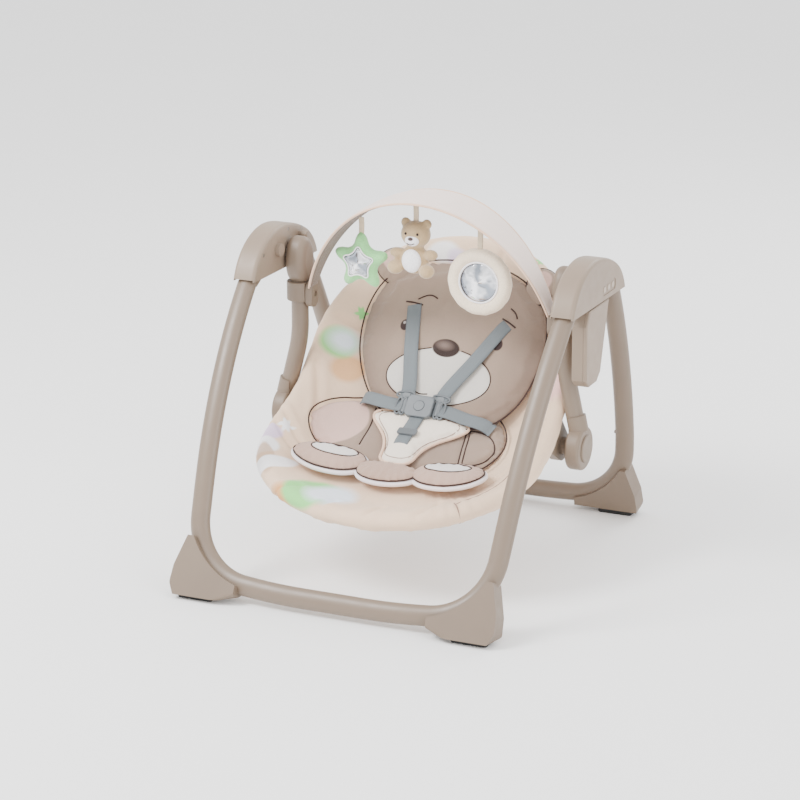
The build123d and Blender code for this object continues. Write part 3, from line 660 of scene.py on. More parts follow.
seat_cloth = cloth("seat_cloth", CREAM, "flat", 330.0, cover_prints, 0.22)
head_cloth = cloth("head_cloth", BROWN, "flat", 300.0, head_prints_and_painted_shade, 0.25, 0.35)
body_cloth = cloth("body_cloth", BROWN, "flat", 300.0, body_prints_and_painted_shade, 0.25, 0.35)
ear_cloth = cloth("ear_cloth", shade(BROWN, 0.96), "flat", 300.0, ear_prints, 0.25, 0.35)
trim_cloth = cloth("trim_cloth", rgb(251, 238, 222), "flat", 340.0, None, 0.22)
arch_cloth = cloth("arch_cloth", rgb(247, 229, 219), "flat", 330.0, arch_lining_painted_shade, 0.2)
piping_dark = cloth("piping_dark", DARK, None, 420.0, None, 0.3, 0.1)
piping_peach = cloth("piping_peach", PEACH, None, 420.0, None, 0.3, 0.2)
piping_brown = cloth("piping_brown", rgb(150, 118, 106), None, 420.0, None, 0.3, 0.2)
strap_webbing = webbing("strap_webbing", GREY)
mint_plush = plush("mint_plush", rgb(150, 224, 148))
bear_fur = plush("bear_fur", rgb(188, 162, 124))
white_fur = plush("white_fur", rgb(252, 249, 252))
ring_fur = plush("ring_fur", rgb(248, 230, 204))
star_foil = mirror_foil("star_foil", (-118, 456))
ring_foil = mirror_foil("ring_foil", (86, 445))
ribbon_satin = cloth("ribbon_satin", rgb(226, 206, 178), None, 500.0, None, 0.2, 0.5, 0.55)

# ---- padded pieces

CLOTH_FRAMES = 20
swollen = []  # the stuffed pieces, with the furthest that a point may move and the pressure


def loft_pad(name, outline, centre, low, high, rings=9, edge=0.16):
    """A closed pad from an outline round a centre. low and high give its height at (u, v, share)."""
    loop = even(smooth_loop(outline), 7.0, True)
    count = len(loop)
    c = np.array(centre, float)
    shares = [1 - (1 - k / rings) ** 1.5 for k in range(1, rings + 1)]
    verts, faces = [seat(c[0], c[1], high(c[0], c[1], 0.0))], []
    levels = [(s, "top") for s in shares] + [(s, "bottom") for s in shares[::-1]]
    for share, face in levels:
        for p in loop:
            u, v = c + (p - c) * share
            top, bottom = high(u, v, share), low(u, v, share)
            half = (top - bottom) / 2 if face == "top" else (bottom - top) / 2
            k = max(0.0, (share - (1 - edge)) / edge)
            verts.append(seat(u, v, (top + bottom) / 2 + half * sqrt(max(0.0, 1 - 0.8 * k * k))))
    verts.append(seat(c[0], c[1], low(c[0], c[1], 0.0)))
    for i in range(count):
        j = (i + 1) % count
        faces.append((0, 1 + i, 1 + j))
        for r in range(len(levels) - 1):
            a = 1 + r * count
            b = a + count
            faces.append((a + i, b + i, b + j, a + j))
        a = 1 + (len(levels) - 1) * count
        faces.append((a + i, len(verts) - 1, a + j))
    return outward(mesh_object(name, verts, faces))


def swell(obj, voxel, cap, pressure=4.0):
    """Remeshes a stuffed piece evenly and queues it for the cloth simulation."""
    modify(obj, "REMESH", mode="VOXEL", voxel_size=voxel * MM, use_smooth_shade=True)
    swollen.append((obj, cap * MM, pressure))
    return obj


def run_cloth():
    """Inflates every queued piece at once, and limits how far each point moves."""
    scene = bpy.context.scene
    scene.frame_start, scene.frame_end = 1, CLOTH_FRAMES
    for obj, _, pressure in swollen:
        sim = obj.modifiers.new("cloth", "CLOTH")
        sim.settings.use_pressure = True
        sim.settings.uniform_pressure_force = pressure
        sim.settings.effector_weights.gravity = 0.0
        sim.settings.quality = 4
        sim.settings.mass = 0.3
        sim.settings.tension_stiffness = 12
        sim.settings.compression_stiffness = 12
        sim.settings.bending_stiffness = 0.4
        sim.point_cache.frame_start, sim.point_cache.frame_end = 1, CLOTH_FRAMES
    for f in range(1, CLOTH_FRAMES + 1):
        scene.frame_set(f)
    graph = bpy.context.evaluated_depsgraph_get()
    for obj, cap, _ in swollen:
        rest = coords_of(obj)
        step = coords_of(obj.evaluated_get(graph)) - rest
        far = np.linalg.norm(step, axis=1, keepdims=True)
        set_coords(obj, rest + step * np.minimum(1.0, cap / np.maximum(far, 1e-9)))
    scene.frame_set(1)
    for obj, _, _ in swollen:
        obj.modifiers.clear()
        modify(obj, "SUBSURF", levels=1, render_levels=1)


def move_face(obj, co, flat, push):
    """Moves the upper side of a seat pad up by push, in millimetres."""
    top = np.clip((flat[:, 2] - np.median(flat[:, 2])) / 4.0, 0, 1)
    ups = np.array([tuple(seat_up(v)) for v in flat[:, 1]])
    set_coords(obj, co + ups * (push * top * MM)[:, None])


def groove(obj, line, width, depth):
    """Presses a sewn line, given in (u, v), into the upper side of a seat pad."""
    co = coords_of(obj)
    flat = flatten(co)
    gap = flat[:, None, :2] - even(smooth_line(line), 2.0)[None]
    near = np.sqrt((gap**2).sum(2).min(1))
    move_face(obj, co, flat, -depth * np.exp(-((near / width) ** 2)))


def pucker(obj, outline, depth, pitch=19.0):
    """Small gathers where a pad's face meets its piping, and a gently crumpled face."""
    step = 4.0
    loop = even(smooth_loop(outline), step, True)
    co = coords_of(obj)
    flat = flatten(co)
    gap = ((flat[:, None, :2] - loop[None]) ** 2).sum(2)
    along = gap.argmin(1) * step
    reach = np.exp(-np.sqrt(gap.min(1)) / 12)
    wave = np.sin(tau * along / pitch + 2.2 * np.sin(along * 0.043) + 1.7 * np.sin(along * 0.019 + 1))
    face = np.array([noise.noise(Vector((u * 0.022, v * 0.022, 5.0))) for u, v, h in flat])
    fine = np.array([noise.noise(Vector((u * 0.06, v * 0.045, 9.0))) for u, v, h in flat])
    gathers = depth * wave * reach * (0.65 + 0.35 * np.sin(along * 0.011))
    move_face(obj, co, flat, gathers + 1.5 * face + 0.7 * fine)


def seam_line(name, tree, line, radius, closed=False, lift=0.1):
    """A cord or embroidered line along (u, v) points, lying on a surface."""
    path = even(smooth_loop(line) if closed else smooth_line(line), 4.0, closed)
    points = [lay_on(tree, u, v, lift) for u, v in path]
    p = np.array([tuple(q) for q in points])
    for _ in range(2):
        q = (np.roll(p, 1, 0) + 2 * p + np.roll(p, -1, 0)) / 4
        if not closed:
            q[0], q[-1] = p[0], p[-1]
        p = q
    return tube(name, p, radius * MM, closed)


def ride(obj, body, material):
    """Gives a piece its look and the body it moves with."""
    paint(obj, material)
    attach(obj, body)
    return obj


# ---- seat cover

BOWL_CENTRE = np.array([0.0, 25.0])
BOWL_H = -19.5
SEAM_AT = np.array([150.0, -223.0])  # where the side seam crosses the rim
COVER = smooth_line(COVER_POINTS, 2)
CREST = int(np.argmax(COVER[:, 1]))
CREASES = [  # folds in the cover, as lines in (u, v)
    [(-224, -44), (-192, -66), (-150, -96)], [(-226, -72), (-200, -92), (-176, -108)],
    [(-208, 70), (-190, 24), (-180, -16)], [(204, -60), (180, -92), (164, -136)],
    [(-150, -236), (-120, -214)], [(20, -268), (30, -232)], [(96, -254), (108, -224), (112, -196)],
    [(-196, 150), (-166, 132)], [(205, 60), (186, 30), (182, -10)], [(-60, -264), (-48, -236)],
    [(-120, 286), (-104, 262)], [(60, 318), (52, 292)],
]
CREASE_POINTS = np.vstack([even(smooth_line(line, 2), 3.0) for line in CREASES])


def cover_fullness(p, level):
    """How far the wadding pushes the cover out here: soft hollows, and gathers at the side seam."""
    out, h = COVER[level]
    full = 2.2 * noise.noise(Vector((p[0] * 0.018, p[1] * 0.018, h * 0.04)))
    spot = p + (p - BOWL_CENTRE) / np.linalg.norm(p - BOWL_CENTRE) * out
    full += 0.9 * noise.noise(Vector((spot[0] * 0.05, spot[1] * 0.05, h * 0.08)))
    near = float(np.sqrt(((CREASE_POINTS - spot) ** 2).sum(1).min()))
    if near < 30:
        full += 2.0 * exp(-(((near - 11) / 6) ** 2)) - 3.2 * exp(-((near / 4.0) ** 2))
    gap = (p[1] - SEAM_AT[1]) * 0.6 + (p[0] - SEAM_AT[0]) * 0.8
    if np.linalg.norm(p - SEAM_AT) < 130:
        fade = exp(-abs(gap) / 34) * max(0.0, 1 - abs(level - CREST) / 46)
        full += fade * (1.8 * cos(gap * 0.33 + h * 0.05) - 3.2 * exp(-((gap / 4.5) ** 2)))
    return full


def seat_cover():
    """Sling cover: a hem under the tube, over it, and down into the bowl."""
    verts, uv = [], []
    count = len(RIM)
    step = np.linalg.norm(np.diff(COVER, axis=0), axis=1)
    reach = np.concatenate([[0], np.cumsum(step)])
    slope = np.gradient(COVER, axis=0)
    slope /= np.linalg.norm(slope, axis=1)[:, None]
    for level, (out, h) in enumerate(COVER):
        flat = reach[CREST] - reach[level]
        facing = (slope[level][1], -slope[level][0])
        for p, n in zip(RIM, RIM_OUT):
            full = cover_fullness(p, level)
            u, v = p + n * (out + facing[0] * full)
            verts.append(seat(u, v, h + facing[1] * full))
            uv.append((p + n * (COVER[CREST][0] + flat if flat > 0 else out)) * MM)
    inner_shares = (0.75, 0.5, 0.25)
    last = [p + n * COVER[-1][0] for p, n in zip(RIM, RIM_OUT)]
    for share in inner_shares:
        for p in last:
            u, v = BOWL_CENTRE + (p - BOWL_CENTRE) * share
            verts.append(seat(u, v, BOWL_H))
            uv.append((u * MM, v * MM))
    rows = len(COVER) + len(inner_shares)
    faces = bands(rows, count)
    verts.append(seat(*BOWL_CENTRE, BOWL_H))
    uv.append(BOWL_CENTRE * MM)
    ring = (rows - 1) * count
    faces += [(ring + i, ring + (i + 1) % count, len(verts) - 1) for i in range(count)]
    obj = mesh_object("seat_cover", verts, faces)
    set_uv(obj, uv)
    return modify(outward(obj), "SOLIDIFY", thickness=0.0016, offset=-1)


def floor(lift):
    """A height over the cover's inside, as loft_pad wants it."""
    return lambda u, v, share: floor_height(u, v) + lift


cover = seat_cover()


# ---- padded insert

# Outlines of the pads in (u, v)
HEAD = [
    (-154, 150), (-151, 195), (-135, 235), (-104, 263), (-60, 280), (0, 285), (62, 278), (110, 258),
    (146, 226), (166, 190), (174, 150), (173, 105), (164, 60), (146, 18), (118, -12), (66, -28),
    (8, -32), (-50, -22), (-96, 16), (-126, 58), (-146, 104),
]
BODY = [
    (-60, 44), (-118, 26), (-158, 18), (-184, -8), (-187, -42), (-166, -78), (-126, -108), (-76, -128),
    (0, -140), (66, -130), (120, -116), (148, -90), (160, -56), (156, -22), (140, 8), (112, 32), (60, 44),
]
FOOT_LEFT = [
    (-160, -118), (-128, -100), (-84, -102), (-48, -118), (-38, -138), (-54, -158), (-92, -168), (-138, -164),
    (-166, -144),
]
FOOT_RIGHT = [(-u, v - 6) for u, v in FOOT_LEFT[::-1]]
FOOT_MIDDLE = [
    (-52, -134), (-20, -128), (20, -128), (52, -136), (50, -160), (20, -174), (-16, -176), (-48, -164),
]
FOOT_CENTRES = ((-98, -134), (0, -152), (98, -140))
FOOT_LINES = (FOOT_LEFT, FOOT_MIDDLE, FOOT_RIGHT)
CROTCH = [
    (-78, -2), (-40, 4), (0, 4), (40, 2), (84, -8), (92, -20), (78, -38), (50, -60), (32, -86), (28, -128),
    (-26, -128), (-30, -90), (-42, -62), (-62, -38), (-80, -18),
]


def oval_outline(u, v, half_u, half_v, count):
    return [(u + half_u * cos(a), v + half_v * sin(a)) for a in circle(count)]


EAR_PLACES = ((-122, 256), (138, 248))
EAR_LINES = [oval_outline(u, v, 31, 30, 14) for u, v in EAR_PLACES]


def head_low(u, v, share):
    """The head pad's underside. It lifts near the lap, where it lies on the body pad."""
    t = min(max(v / 70, 0.0), 1.0)
    return floor_height(u, v) + 1 + 14 * (1 - t * t * (3 - 2 * t))


def head_high(u, v, share):
    return max(head_low(u, v, share) + 8, floor_height(u, v) * 0.55 + 20 - 3 * share**2)


def body_high(u, v, share):
    return floor_height(u, v) + 15 - 4 * share**2


def guard_low(u, v, share):
    return max(floor_height(u, v) + 18, -2)


def guard_high(u, v, share):
    return guard_low(u, v, share) + 12 - 4 * share**2


BODY_LOW, EAR_LOW, EAR_HIGH, FOOT_LOW, FOOT_HIGH = floor(1), floor(1), floor(15), floor(13), floor(32)

head = swell(loft_pad("insert_head", HEAD, (8, 128), head_low, head_high), 5.0, 5)
body = swell(loft_pad("insert_body", BODY, (0, -45), BODY_LOW, body_high), 5.0, 5)
ears = [
    swell(loft_pad("insert_ear_" + side, line, place, EAR_LOW, EAR_HIGH), 4.0, 4)
    for side, line, place in zip(("left", "right"), EAR_LINES, EAR_PLACES)
]
feet = [
    swell(loft_pad("insert_foot_" + side, line, centre, FOOT_LOW, FOOT_HIGH, 7, 0.3), 4.0, 4)
    for side, line, centre in zip(("left", "middle", "right"), FOOT_LINES, FOOT_CENTRES)
]
crotch = swell(loft_pad("crotch_guard", CROTCH, (2, -48), guard_low, guard_high, 8, 0.4), 3.5, 3)

# ---- toys as stuffed shapes


# The toys' middles in (x, z)
STAR = (-118.0, 456.0)
BEAR = (-24.0, 484.0)
RING = (86.0, 445.0)


def upright(x, y, z):
    return Vector((x, y, z)) * MM


def ring_points(radius, y, count):
    """Points round the ring toy's middle."""
    return [upright(RING[0] + radius * cos(a), y, RING[1] + radius * sin(a)) for a in circle(count)]


def stuffed_outline(name, outline, y_front, y_back, crown):
    """A stuffed flat shape that faces the front. The outline is (x, z) in millimetres round its middle."""
    loop = even(smooth_loop(outline, 3), 3.0, True)
    c = loop.mean(0)
    count = len(loop)
    y_mid = (y_front + y_back) / 2
    verts = []
    levels = [(0.0, y_front), (0.4, y_front), (0.7, y_front + 0.5), (0.9, y_front + 2.5), (1.0, y_mid)]
    levels += [(0.9, y_back - 2.5), (0.7, y_back - 0.5), (0.4, y_back), (0.0, y_back)]
    for share, y in levels:
        for p in loop:
            x, z = c + (p - c) * max(share, 0.02)
            verts.append(upright(x, y - (crown if y < y_mid else -crown) * (1 - share), z))
    faces = bands(len(levels), count) + [face[::-1] for face in caps(len(levels), count)]
    return outward(mesh_object(name, verts, faces))


def star_points(centre, tip, waist):
    out = []
    for k in range(10):
        r, a = waist if k % 2 else tip, radians(90 + 36 * k)
        out.append((centre[0] + r * cos(a), centre[1] + r * sin(a)))
    return out


def round_star(centre, tip, waist):
    """Star outline with blunt tips."""
    out = []
    for k in range(5):
        a = radians(90 + 72 * k)
        for off in (-0.14, 0.14):
            out.append((centre[0] + tip * cos(a + off), centre[1] + tip * sin(a + off)))
        b = a + radians(36)
        out.append((centre[0] + waist * cos(b), centre[1] + waist * sin(b)))
    return out


def blob(centre, radii, rings=10, sides=16):
    """A closed oval ball, in millimetres."""
    verts, faces = [upright(centre[0], centre[1], centre[2] + radii[2])], []
    for r in range(1, rings):
        a = pi * r / rings
        for k in range(sides):
            b = tau * k / sides
            x, y = radii[0] * sin(a) * cos(b), radii[1] * sin(a) * sin(b)
            verts.append(upright(centre[0] + x, centre[1] + y, centre[2] + radii[2] * cos(a)))
    verts.append(upright(centre[0], centre[1], centre[2] - radii[2]))
    for k in range(sides):
        m = (k + 1) % sides
        faces.append((0, 1 + k, 1 + m))
        for r in range(rings - 2):
            a, b = 1 + r * sides, 1 + (r + 1) * sides
            faces.append((a + k, b + k, b + m, a + m))
        last = 1 + (rings - 2) * sides
        faces.append((last + k, len(verts) - 1, last + m))
    return mesh_object("blob", verts, faces)


star = swell(stuffed_outline("star_toy_body", round_star(STAR, 50, 27), 51, 69, 3), 2.5, 1.6, 3.0)

bx, bz = BEAR
bear_parts = [  # head, body, ears, arms and legs
    blob((bx + x, y, bz + z), radii)
    for (x, y, z), radii in (
        ((1, 59, 27), (25, 19, 22)), ((-1, 60, -14), (24, 18, 24)),
        ((-17, 61, 44), (8.5, 6, 8.5)), ((19, 61, 44), (8.5, 6, 8.5)),
        ((-30, 56, -5), (13, 9, 8.5)), ((28, 56, -4), (12, 9, 9)),
        ((-30, 49, -27), (14, 13, 11.5)), ((24, 48, -29), (13, 13, 11.5)),
    )
]
bear = swell(join("bear_toy_body", bear_parts), 2.5, 1.5, 2.0)


def ring_body():
    """Stuffed ring with soft gathers round it."""
    verts = []
    around, section, gathers = 96, 20, 14
    for i in range(around):
        a = tau * i / around
        gather = cos(gathers * a)
        for k in range(section):
            b = tau * k / section
            r = 43.0 * (1 + 0.007 * gather) + 11.0 * cos(b)
            y = 60 + 10.5 * sin(b) * (1 + 0.03 * gather)
            verts.append(upright(RING[0] + r * cos(a), y, RING[1] + r * sin(a)))
    return outward(mesh_object("ring_toy_body", verts, bands(around, section, True)))


ring = swell(ring_body(), 3.0, 2.0, 3.0)

run_cloth()

# ---- finish the seat pads

pucker(head, HEAD, 0.9, 24.0)
pucker(body, BODY, 1.3)
pucker(crotch, CROTCH, 1.5, 13.0)
for foot, line in zip(feet, FOOT_LINES):
    pucker(foot, line, 1.5, 16.0)
for ear, line in zip(ears, EAR_LINES):
    pucker(ear, line, 0.8, 15.0)

MUZZLE = [(8 + 90 * cos(a), 70 + 53 * sin(a)) for a in np.radians(np.linspace(107, 433, 30))]
CHIN = [(-100, 30), (-60, -6), (0, -16), (60, -14), (110, 6)]
BODY_LINES = {
    "paw_line_right": [(84, -16), (106, -14), (132, -28), (146, -56), (134, -84), (108, -98)],
    "leg_line_left": [(-84, 6), (-78, -30), (-76, -84)],
    "leg_line_right": [(82, -14), (88, -50), (98, -96)],
    "leg_line_right_outer": [(88, -14), (95, -50), (105, -98)],
}

groove(head, MUZZLE, 4.0, 1.8)
groove(head, CHIN, 5.0, 1.0)
for name in ("paw_line_right", "leg_line_left", "leg_line_right"):
    groove(body, BODY_LINES[name], 4.0, 2.0)
for piece in (head, body, *ears, *feet, crotch):
    seat_uv(piece)


def foot_cloth(side, sole=None):
    """A foot's cloth, with a pale sole at (u, v)."""

    def overlay(m, place, base):
        c = m.mix(m.soft_oval(place, sole, (60, 34), 0, 0.4, 0.25), base, PINKISH)
        return m.mix(m.oval(place, (sole[0], sole[1] + 10), (40, 15), -4, 0.03), c, rgb(230, 224, 220))

    base = rgb(184, 154, 137)
    return cloth("foot_cloth_" + side, base, "flat", 300.0, overlay if sole else None, 0.25, 0.3)


for piece, look, slot, node in (
    (cover, seat_cloth, "seat_cloth", "seat_fabric"),
    (head, head_cloth, "insert_cloth", "insert_back"),
    (body, body_cloth, "insert_cloth", "insert_seat"),
    (crotch, trim_cloth, "trim_cloth", "crotch_pad"),
):
    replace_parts(ride(piece, "seat", look), node)
for ear in ears:
    ride(ear, "seat", ear_cloth)
ride(feet[0], "seat", foot_cloth("left", FOOT_CENTRES[0]))
ride(feet[1], "seat", foot_cloth("middle"))
ride(feet[2], "seat", foot_cloth("right", FOOT_CENTRES[2]))


def edge_cord(name, outline, low, high, where, radius, material=piping_dark):
    """Piping round a pad's edge, at a share of its height."""
    loop = even(smooth_loop(outline), 5.0, True)
    centre = loop.mean(0)
    points = []
    for p in loop:
        u, v = centre + (p - centre) * (0.985 if where > 0.5 else 1.0)
        bottom, top = low(u, v, 1.0), high(u, v, 1.0)
        points.append(seat(u, v, bottom + (top - bottom) * where))
    return ride(tube(name, points, radius * MM, True), "seat", material)


pale_edge = cloth("pale_edge", rgb(246, 236, 238), None, 340.0, None, 0.2)
edge_cord("insert_head_piping", HEAD, head_low, head_high, 0.86, 1.35)
edge_cord("insert_body_piping", BODY, BODY_LOW, body_high, 0.86, 1.35)
for foot, line in zip(feet, FOOT_LINES):
    edge_cord(foot.name + "_piping", line, FOOT_LOW, FOOT_HIGH, 0.62, 1.4)
    edge_cord(foot.name + "_edge", line, FOOT_LOW, FOOT_HIGH, 0.3, 4.2, pale_edge)
for ear, line in zip(ears, EAR_LINES):
    edge_cord(ear.name + "_piping", line, EAR_LOW, EAR_HIGH, 0.7, 1.1)
edge_cord("crotch_guard_piping", CROTCH, guard_low, guard_high, 0.7, 2.4, piping_peach)


def sew(name, tree, line, radius, closed=False, lift=0.1):
    """A dark line sewn on the insert."""
    ride(seam_line(name, tree, line, radius, closed, lift), "seat", piping_dark)


head_tree = surface_of(head)
for name, line, radius in (
    ("muzzle_line", MUZZLE, 1.0),
    ("smile_line", [(-26, 42), (-16, 33), (0, 36)], 1.1),
    ("brow_line_left", [(-66, 203), (-56, 211), (-44, 215), (-33, 208)], 1.2),
    ("brow_line_right", [(96, 205), (106, 200), (112, 188)], 1.2),
):
    sew(name, head_tree, line, radius)
body_tree = surface_of(body)
for name, line in BODY_LINES.items():
    sew(name, body_tree, line, 1.2)
for foot, (u, v) in ((feet[0], (-98, -124)), (feet[2], (98, -130))):
    sew(foot.name + "_sole_line", surface_of(foot), oval_outline(u, v, 41, 16, 20), 1.2, True)
guard_seam = [(2 + (u - 2) * 0.84, -52 + (v + 52) * 0.84) for u, v in CROTCH]
guard_thread = seam_line("crotch_guard_seam", surface_of(crotch), guard_seam, 0.6, True, 0.3)
ride(guard_thread, "seat", piping_brown)


def cover_seam():
    """The sewn line over the rim, from the hem to the bowl."""
    i = int(np.argmin(np.linalg.norm(RIM - SEAM_AT, axis=1)))
    line = []
    for level in range(8, CREST + 10):
        out, h = COVER[level]
        u, v = RIM[i] + RIM_OUT[i] * (out - 0.9)
        line.append(seat(u, v, h - 0.9))
    return line


ride(tube("cover_seam", cover_seam(), 0.9 * MM), "seat", piping_brown)
SIDE_SEAM = [(141, -208), (162, -184), (184, -146), (196, -100)]
side_seam = seam_line("cover_side_seam", surface_of(cover), SIDE_SEAM, 0.8, False, -0.2)
ride(side_seam, "seat", piping_brown)

# ---- harness

lay_tree = surface_of(head, body, *feet, crotch)


def band(name, centres, up_at, width, thickness):
    """Flat webbing along points in metres. up_at gives the way up at a point."""
    sides, ups = [], []
    for i, q in enumerate(centres):
        along = Vector(centres[min(i + 1, len(centres) - 1)] - centres[max(i - 1, 0)]).normalized()
        side = along.cross(up_at(q)).normalized()
        sides.append(side)
        ups.append(side.cross(along).normalized())
    return ribbon(name, centres, sides, ups, width, thickness)


def strap(name, stations):
    """Webbing through points in metres."""
    p = even(smooth_line([tuple(q) for q in stations], 3), 0.006)
    piece = band(name, p, lambda q: seat_up(flatten([q])[0][1]), 24.0, 1.5)
    return ride(piece, "seat", strap_webbing)


def on_plane(along, u, v, h):
    """A point measured from one flat plane of the seat, as the buckle is."""
    return (FOLD + along * v + Vector((0, -along.z, along.y)) * h + Vector((u, 0, 0))) * MM


def on_back(u, v, h):
    return on_plane(BACK_DIR, u, v, h)


def on_front(u, v, h):
    return on_plane(FRONT_DIR, u, v, h)


def lying(u, v):
    return lay_on(lay_tree, u, v, 1.2)


for name, stations in {
    "shoulder_strap_left": [
        seat(-72, 203, 6), lying(-69, 192), lying(-65, 176),
        on_back(-50, 110, 18), on_back(-30, 44, 21), on_back(-29, 24, 24),
    ],
    "shoulder_strap_right": [
        seat(106, 187, 6), lying(98, 176), lying(89, 161),
        on_back(62, 100, 18.5), on_back(34, 46, 21), on_back(30, 24, 24),
    ],
    "waist_strap_left": [
        seat(-109, 17, 4), seat(-100, 16, 12), on_back(-70, 12, 21.5), on_back(-50, 9, 23.6),
        on_back(-32, 8, 24),
    ],
    "waist_strap_right": [
        seat(126, -14, 3), seat(112, -10, 12), on_back(78, 0, 21), on_back(52, 6, 23.6),
        on_back(32, 8, 24),
    ],
    "crotch_strap": [
        on_back(0, -5, 24.4), on_front(0, -28, 17), on_front(-1, -60, 16.6), on_front(-2, -80, 14.4),
        on_front(-3, -92, 9),
    ],
}.items():
    piece = strap(name, stations)
    if name == "shoulder_strap_left":
        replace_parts(piece, "harness_straps")
for name, (u, v), turn in (("strap_slot_left", (-70, 195), -4), ("strap_slot_right", (100, 179), -28)):
    half_u, half_v = 15 * cos(radians(turn)), 15 * sin(radians(turn))
    sew(name, head_tree, [(u - half_u, v - half_v), (u, v + 1.5), (u + half_u, v + half_v)], 1.4, lift=0.0)


def loop_frame(name, u, v, half_u, half_v, turn):
    """Slotted plastic end that the webbing passes through."""
    a = radians(turn)
    flat = []
    for x, y in smooth_loop([(-half_u, -half_v), (half_u, -half_v), (half_u, half_v), (-half_u, half_v)]):
        flat.append((u + x * cos(a) - y * sin(a), v + x * sin(a) + y * cos(a)))
    points = [on_back(x, y, 24.4) for x, y in even(flat, 1.5, True)]
    ride(tube(name, points, 1.9 * MM, True), "seat", LOOKS["buckle_plastic"])


for side, sign in (("left", -1), ("right", 1)):
    loop_frame("shoulder_loop_" + side, sign * 31, 28, 14.5, 5.0, -6 * sign)
    loop_frame("waist_loop_" + side, sign * 37, 7, 5.0, 14.5, 0)
    loop_frame("waist_loop_inner_" + side, sign * 29, 7, 4.0, 14.5, 0)

# ---- toy bar


def arch_edges(z):
    """Front and back Y of the bow at a height, through its three stations."""
    t = (z - 376.0) / (579.0 - 376.0)
    front = 54 - 47.5 * t * (1 - t) - 57 * t**2
    back = 74 + 8 * t * (1 - t) + 29 * t**2
    return front, back


BOW_HALF, BOW_RISE = 216, 246  # half axes of the bow's oval
BOW_BASE, BOW_ENDS = 328, 405.0  # heights of the oval's middle and of the bow's ends


def bow_point(a):
    """The bow's (x, z) at an angle, and the way out from there."""
    out = Vector((BOW_RISE * cos(a), 0, BOW_HALF * sin(a))).normalized()
    return BOW_HALF * cos(a), BOW_BASE + BOW_RISE * sin(a), out


def toy_bow():
    """The padded bow, and a cord along its front and back edge."""
    verts, uv = [], []
    low = asin((BOW_ENDS - BOW_BASE) / BOW_RISE)
    stations = np.linspace(low, pi - low, 90)
    across = 12
    for a in stations:
        x, z, n = bow_point(a)
        front, back = arch_edges(z)
        middle, half = (front + back) / 2, (back - front) / 2
        for k in range(across + 1):
            s = -1 + 2 * k / across
            lift = 3.0 + 2.2 * (1 - s * s) - 2.2 * (abs(s) > 0.99)
            wrinkle = 0.5 * noise.noise(Vector((x * 0.03, s * 3, z * 0.03)))
            verts.append(Vector((x, middle + s * half, z)) * MM + n * (lift + wrinkle) * MM)
            uv.append((a * 0.23, s * half * MM))
        for k in range(across - 1, 0, -1):
            s = -1 + 2 * k / across
            verts.append(Vector((x, middle + s * half, z)) * MM - n * 2.6 * MM)
            uv.append((a * 0.23, LINING_V + s * half * MM))
    size = len(stations), 2 * across
    obj = mesh_object("toy_bow", verts, bands(*size) + caps(*size))
    set_uv(obj, uv)
    modify(outward(obj), "SUBSURF", levels=1, render_levels=1)
    edges = []
    for side in (0, 1):
        line = []
        for a in np.linspace(low, pi - low, 110):
            x, z, n = bow_point(a)
            line.append(Vector((x, arch_edges(z)[side], z)) * MM + n * 0.6 * MM)
        edges.append(tube(f"toy_bow_piping_{side}", line, 1.7 * MM))
    return obj, edges


bow, bow_edges = toy_bow()
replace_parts(ride(bow, "toy_bar", arch_cloth), "toy_arch")
for edge in bow_edges:
    ride(edge, "toy_bar", piping_peach)

# ---- toys

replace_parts(ride(star, "star_toy", mint_plush), "star_plush")
star_plate = stuffed_outline("star_toy_mirror", star_points(STAR, 29, 15), 45.2, 47.4, 0.4)
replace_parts(ride(star_plate, "star_toy", star_foil), "star_mirror")
rim_line = even(smooth_loop(star_points(STAR, 31, 16.5), 2), 1.5, True)
star_rim = tube("star_toy_rim", [upright(x, 46.6, z) for x, z in rim_line], 1.1 * MM, True)
ride(star_rim, "star_toy", white_fur)

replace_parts(ride(bear, "bear_toy", bear_fur), "bear_plush")
nose_look = plastic("nose_thread", rgb(70, 52, 48), 0.5, 900.0, 0.2)
eye_look = plastic("eye_bead", rgb(40, 32, 30), 0.2, 300.0, 0.01)
for name, (x, y, z), radii, look, detail in (
    ("muzzle", (1, 43.5, 20), (12, 5.5, 9), white_fur, (14, 24)),
    ("belly", (-1, 46, -14), (16.5, 7.5, 19), white_fur, (14, 24)),
    ("nose", (0.5, 38.4, 23.5), (4.2, 2.2, 2.8), nose_look, (14, 24)),
    ("eye_left", (-9, 41.5, 31), (2, 1.6, 2.3), eye_look, (10, 16)),
    ("eye_right", (11, 41.5, 31), (2, 1.6, 2.3), eye_look, (10, 16)),
):
    piece = blob((bx + x, y, bz + z), radii, *detail)
    piece.name = "bear_toy_" + name
    ride(piece, "bear_toy", look)
mouth = smooth_line([(bx - 6, 38.7, bz + 16), (bx, 37.9, bz + 13.5), (bx + 7, 38.8, bz + 16.5)], 3) * MM
ride(tube("bear_toy_mouth", mouth, 0.7 * MM), "bear_toy", piping_dark)

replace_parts(ride(ring, "ring_toy", ring_fur), "ring_plush")


def mirror_disc():
    """A slightly domed disc with a turned-back edge."""
    profile = [(8, 52.6), (16, 53.0), (24, 53.8), (29, 54.8), (32.4, 56.5), (32.4, 61), (20, 62)]
    sides = 64
    verts = [q for r, y in profile for q in ring_points(r, y, sides)]
    faces = bands(len(profile), sides) + [caps(len(profile), sides)[1][::-1]]
    middle = len(verts)
    verts.append(upright(RING[0], 52.5, RING[1]))
    faces += [(middle, (k + 1) % sides, k) for k in range(sides)]
    return mesh_object("ring_toy_mirror", verts, faces)


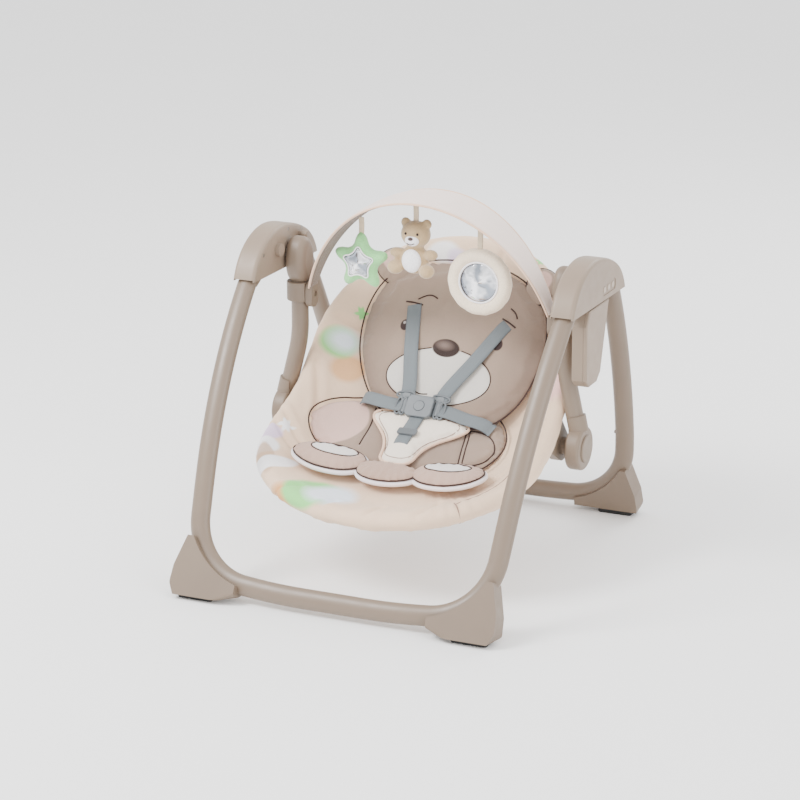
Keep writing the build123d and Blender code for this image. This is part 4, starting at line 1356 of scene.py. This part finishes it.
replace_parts(ride(mirror_disc(), "ring_toy", ring_foil), "ring_mirror")
ring_rim = tube("ring_toy_rim", ring_points(32.5, 53.6, 80), 1.6 * MM, True)
ride(ring_rim, "ring_toy", white_fur)


def toy_ribbon(name, body, x_low, z_low, x_high, z_high, node):
    """A sewn loop of ribbon, a little slack."""
    centres = []
    for t in np.linspace(0, 1, 18):
        y = 60 + 1.5 * sin(pi * t)
        centres.append(upright(x_low + (x_high - x_low) * t, y, z_low + (z_high - z_low) * t))
    piece = band(name, centres, lambda q: Vector((0, 1, 0)), 9.0, 1.8)
    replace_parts(ride(piece, body, ribbon_satin), node)


toy_ribbon("star_toy_ribbon", "star_toy", -118, 500, -118, 528.5, "star_ribbon")
toy_ribbon("bear_toy_ribbon", "bear_toy", -23, 527, -24, 568.6, "bear_ribbon")
toy_ribbon("ring_toy_ribbon", "ring_toy", 86, 496, 86, 549, "ring_ribbon")

# ---- floor, light, camera


def stage_floor():
    size = 9.0
    corners = [(-size, -size, 0), (size, -size, 0), (size, size, 0), (-size, size, 0)]
    m = Nodes("floor_look", 0.7)
    tone = m.noise(m.place(), 3.0, 2.0)
    m.colour(m.mix(tone, (0.92, 0.92, 0.92, 1), (0.94, 0.94, 0.94, 1)))
    paint(mesh_object("floor", corners, [(0, 1, 2, 3)]), m.material)


stage_floor()

world = bpy.data.worlds.new("studio")
bpy.context.scene.world = world
world.use_nodes = True
sky = world.node_tree.nodes["Background"].inputs
sky["Color"].default_value, sky["Strength"].default_value = (1.0, 1.0, 1.0, 1), 1.85


def area_light(name, place, target, size, power):
    light = bpy.data.lights.new(name, "AREA")
    light.shape = "DISK"
    light.size = size
    light.energy = power
    obj = add_object(name, light)
    obj.location = place
    obj.rotation_euler = (Vector(target) - Vector(place)).to_track_quat("-Z", "Y").to_euler()


area_light("key", (-1.5, -1.4, 2.3), (0, 0, 0.25), 1.3, 98)
area_light("fill", (2.2, -1.2, 1.4), (0, 0, 0.3), 1.8, 28)
area_light("back", (0.6, 2.2, 2.0), (0, 0, 0.3), 1.6, 34)

azimuth, elevation, distance = radians(23.57), radians(17.65), 4.882
target = Vector((0, 0.099, 0.250))
level = cos(elevation)
back = Vector((sin(azimuth) * level, -cos(azimuth) * level, sin(elevation)))
lens = bpy.data.cameras.new("camera")
lens.lens, lens.sensor_width = 136.8, 36.0
lens.shift_x, lens.shift_y = -0.0494, -0.01625
lens.clip_end = 60.0
camera = add_object("camera", lens)
camera.location = target + back * distance
camera.rotation_euler = (-back).to_track_quat("-Z", "Y").to_euler()
bpy.context.scene.camera = camera
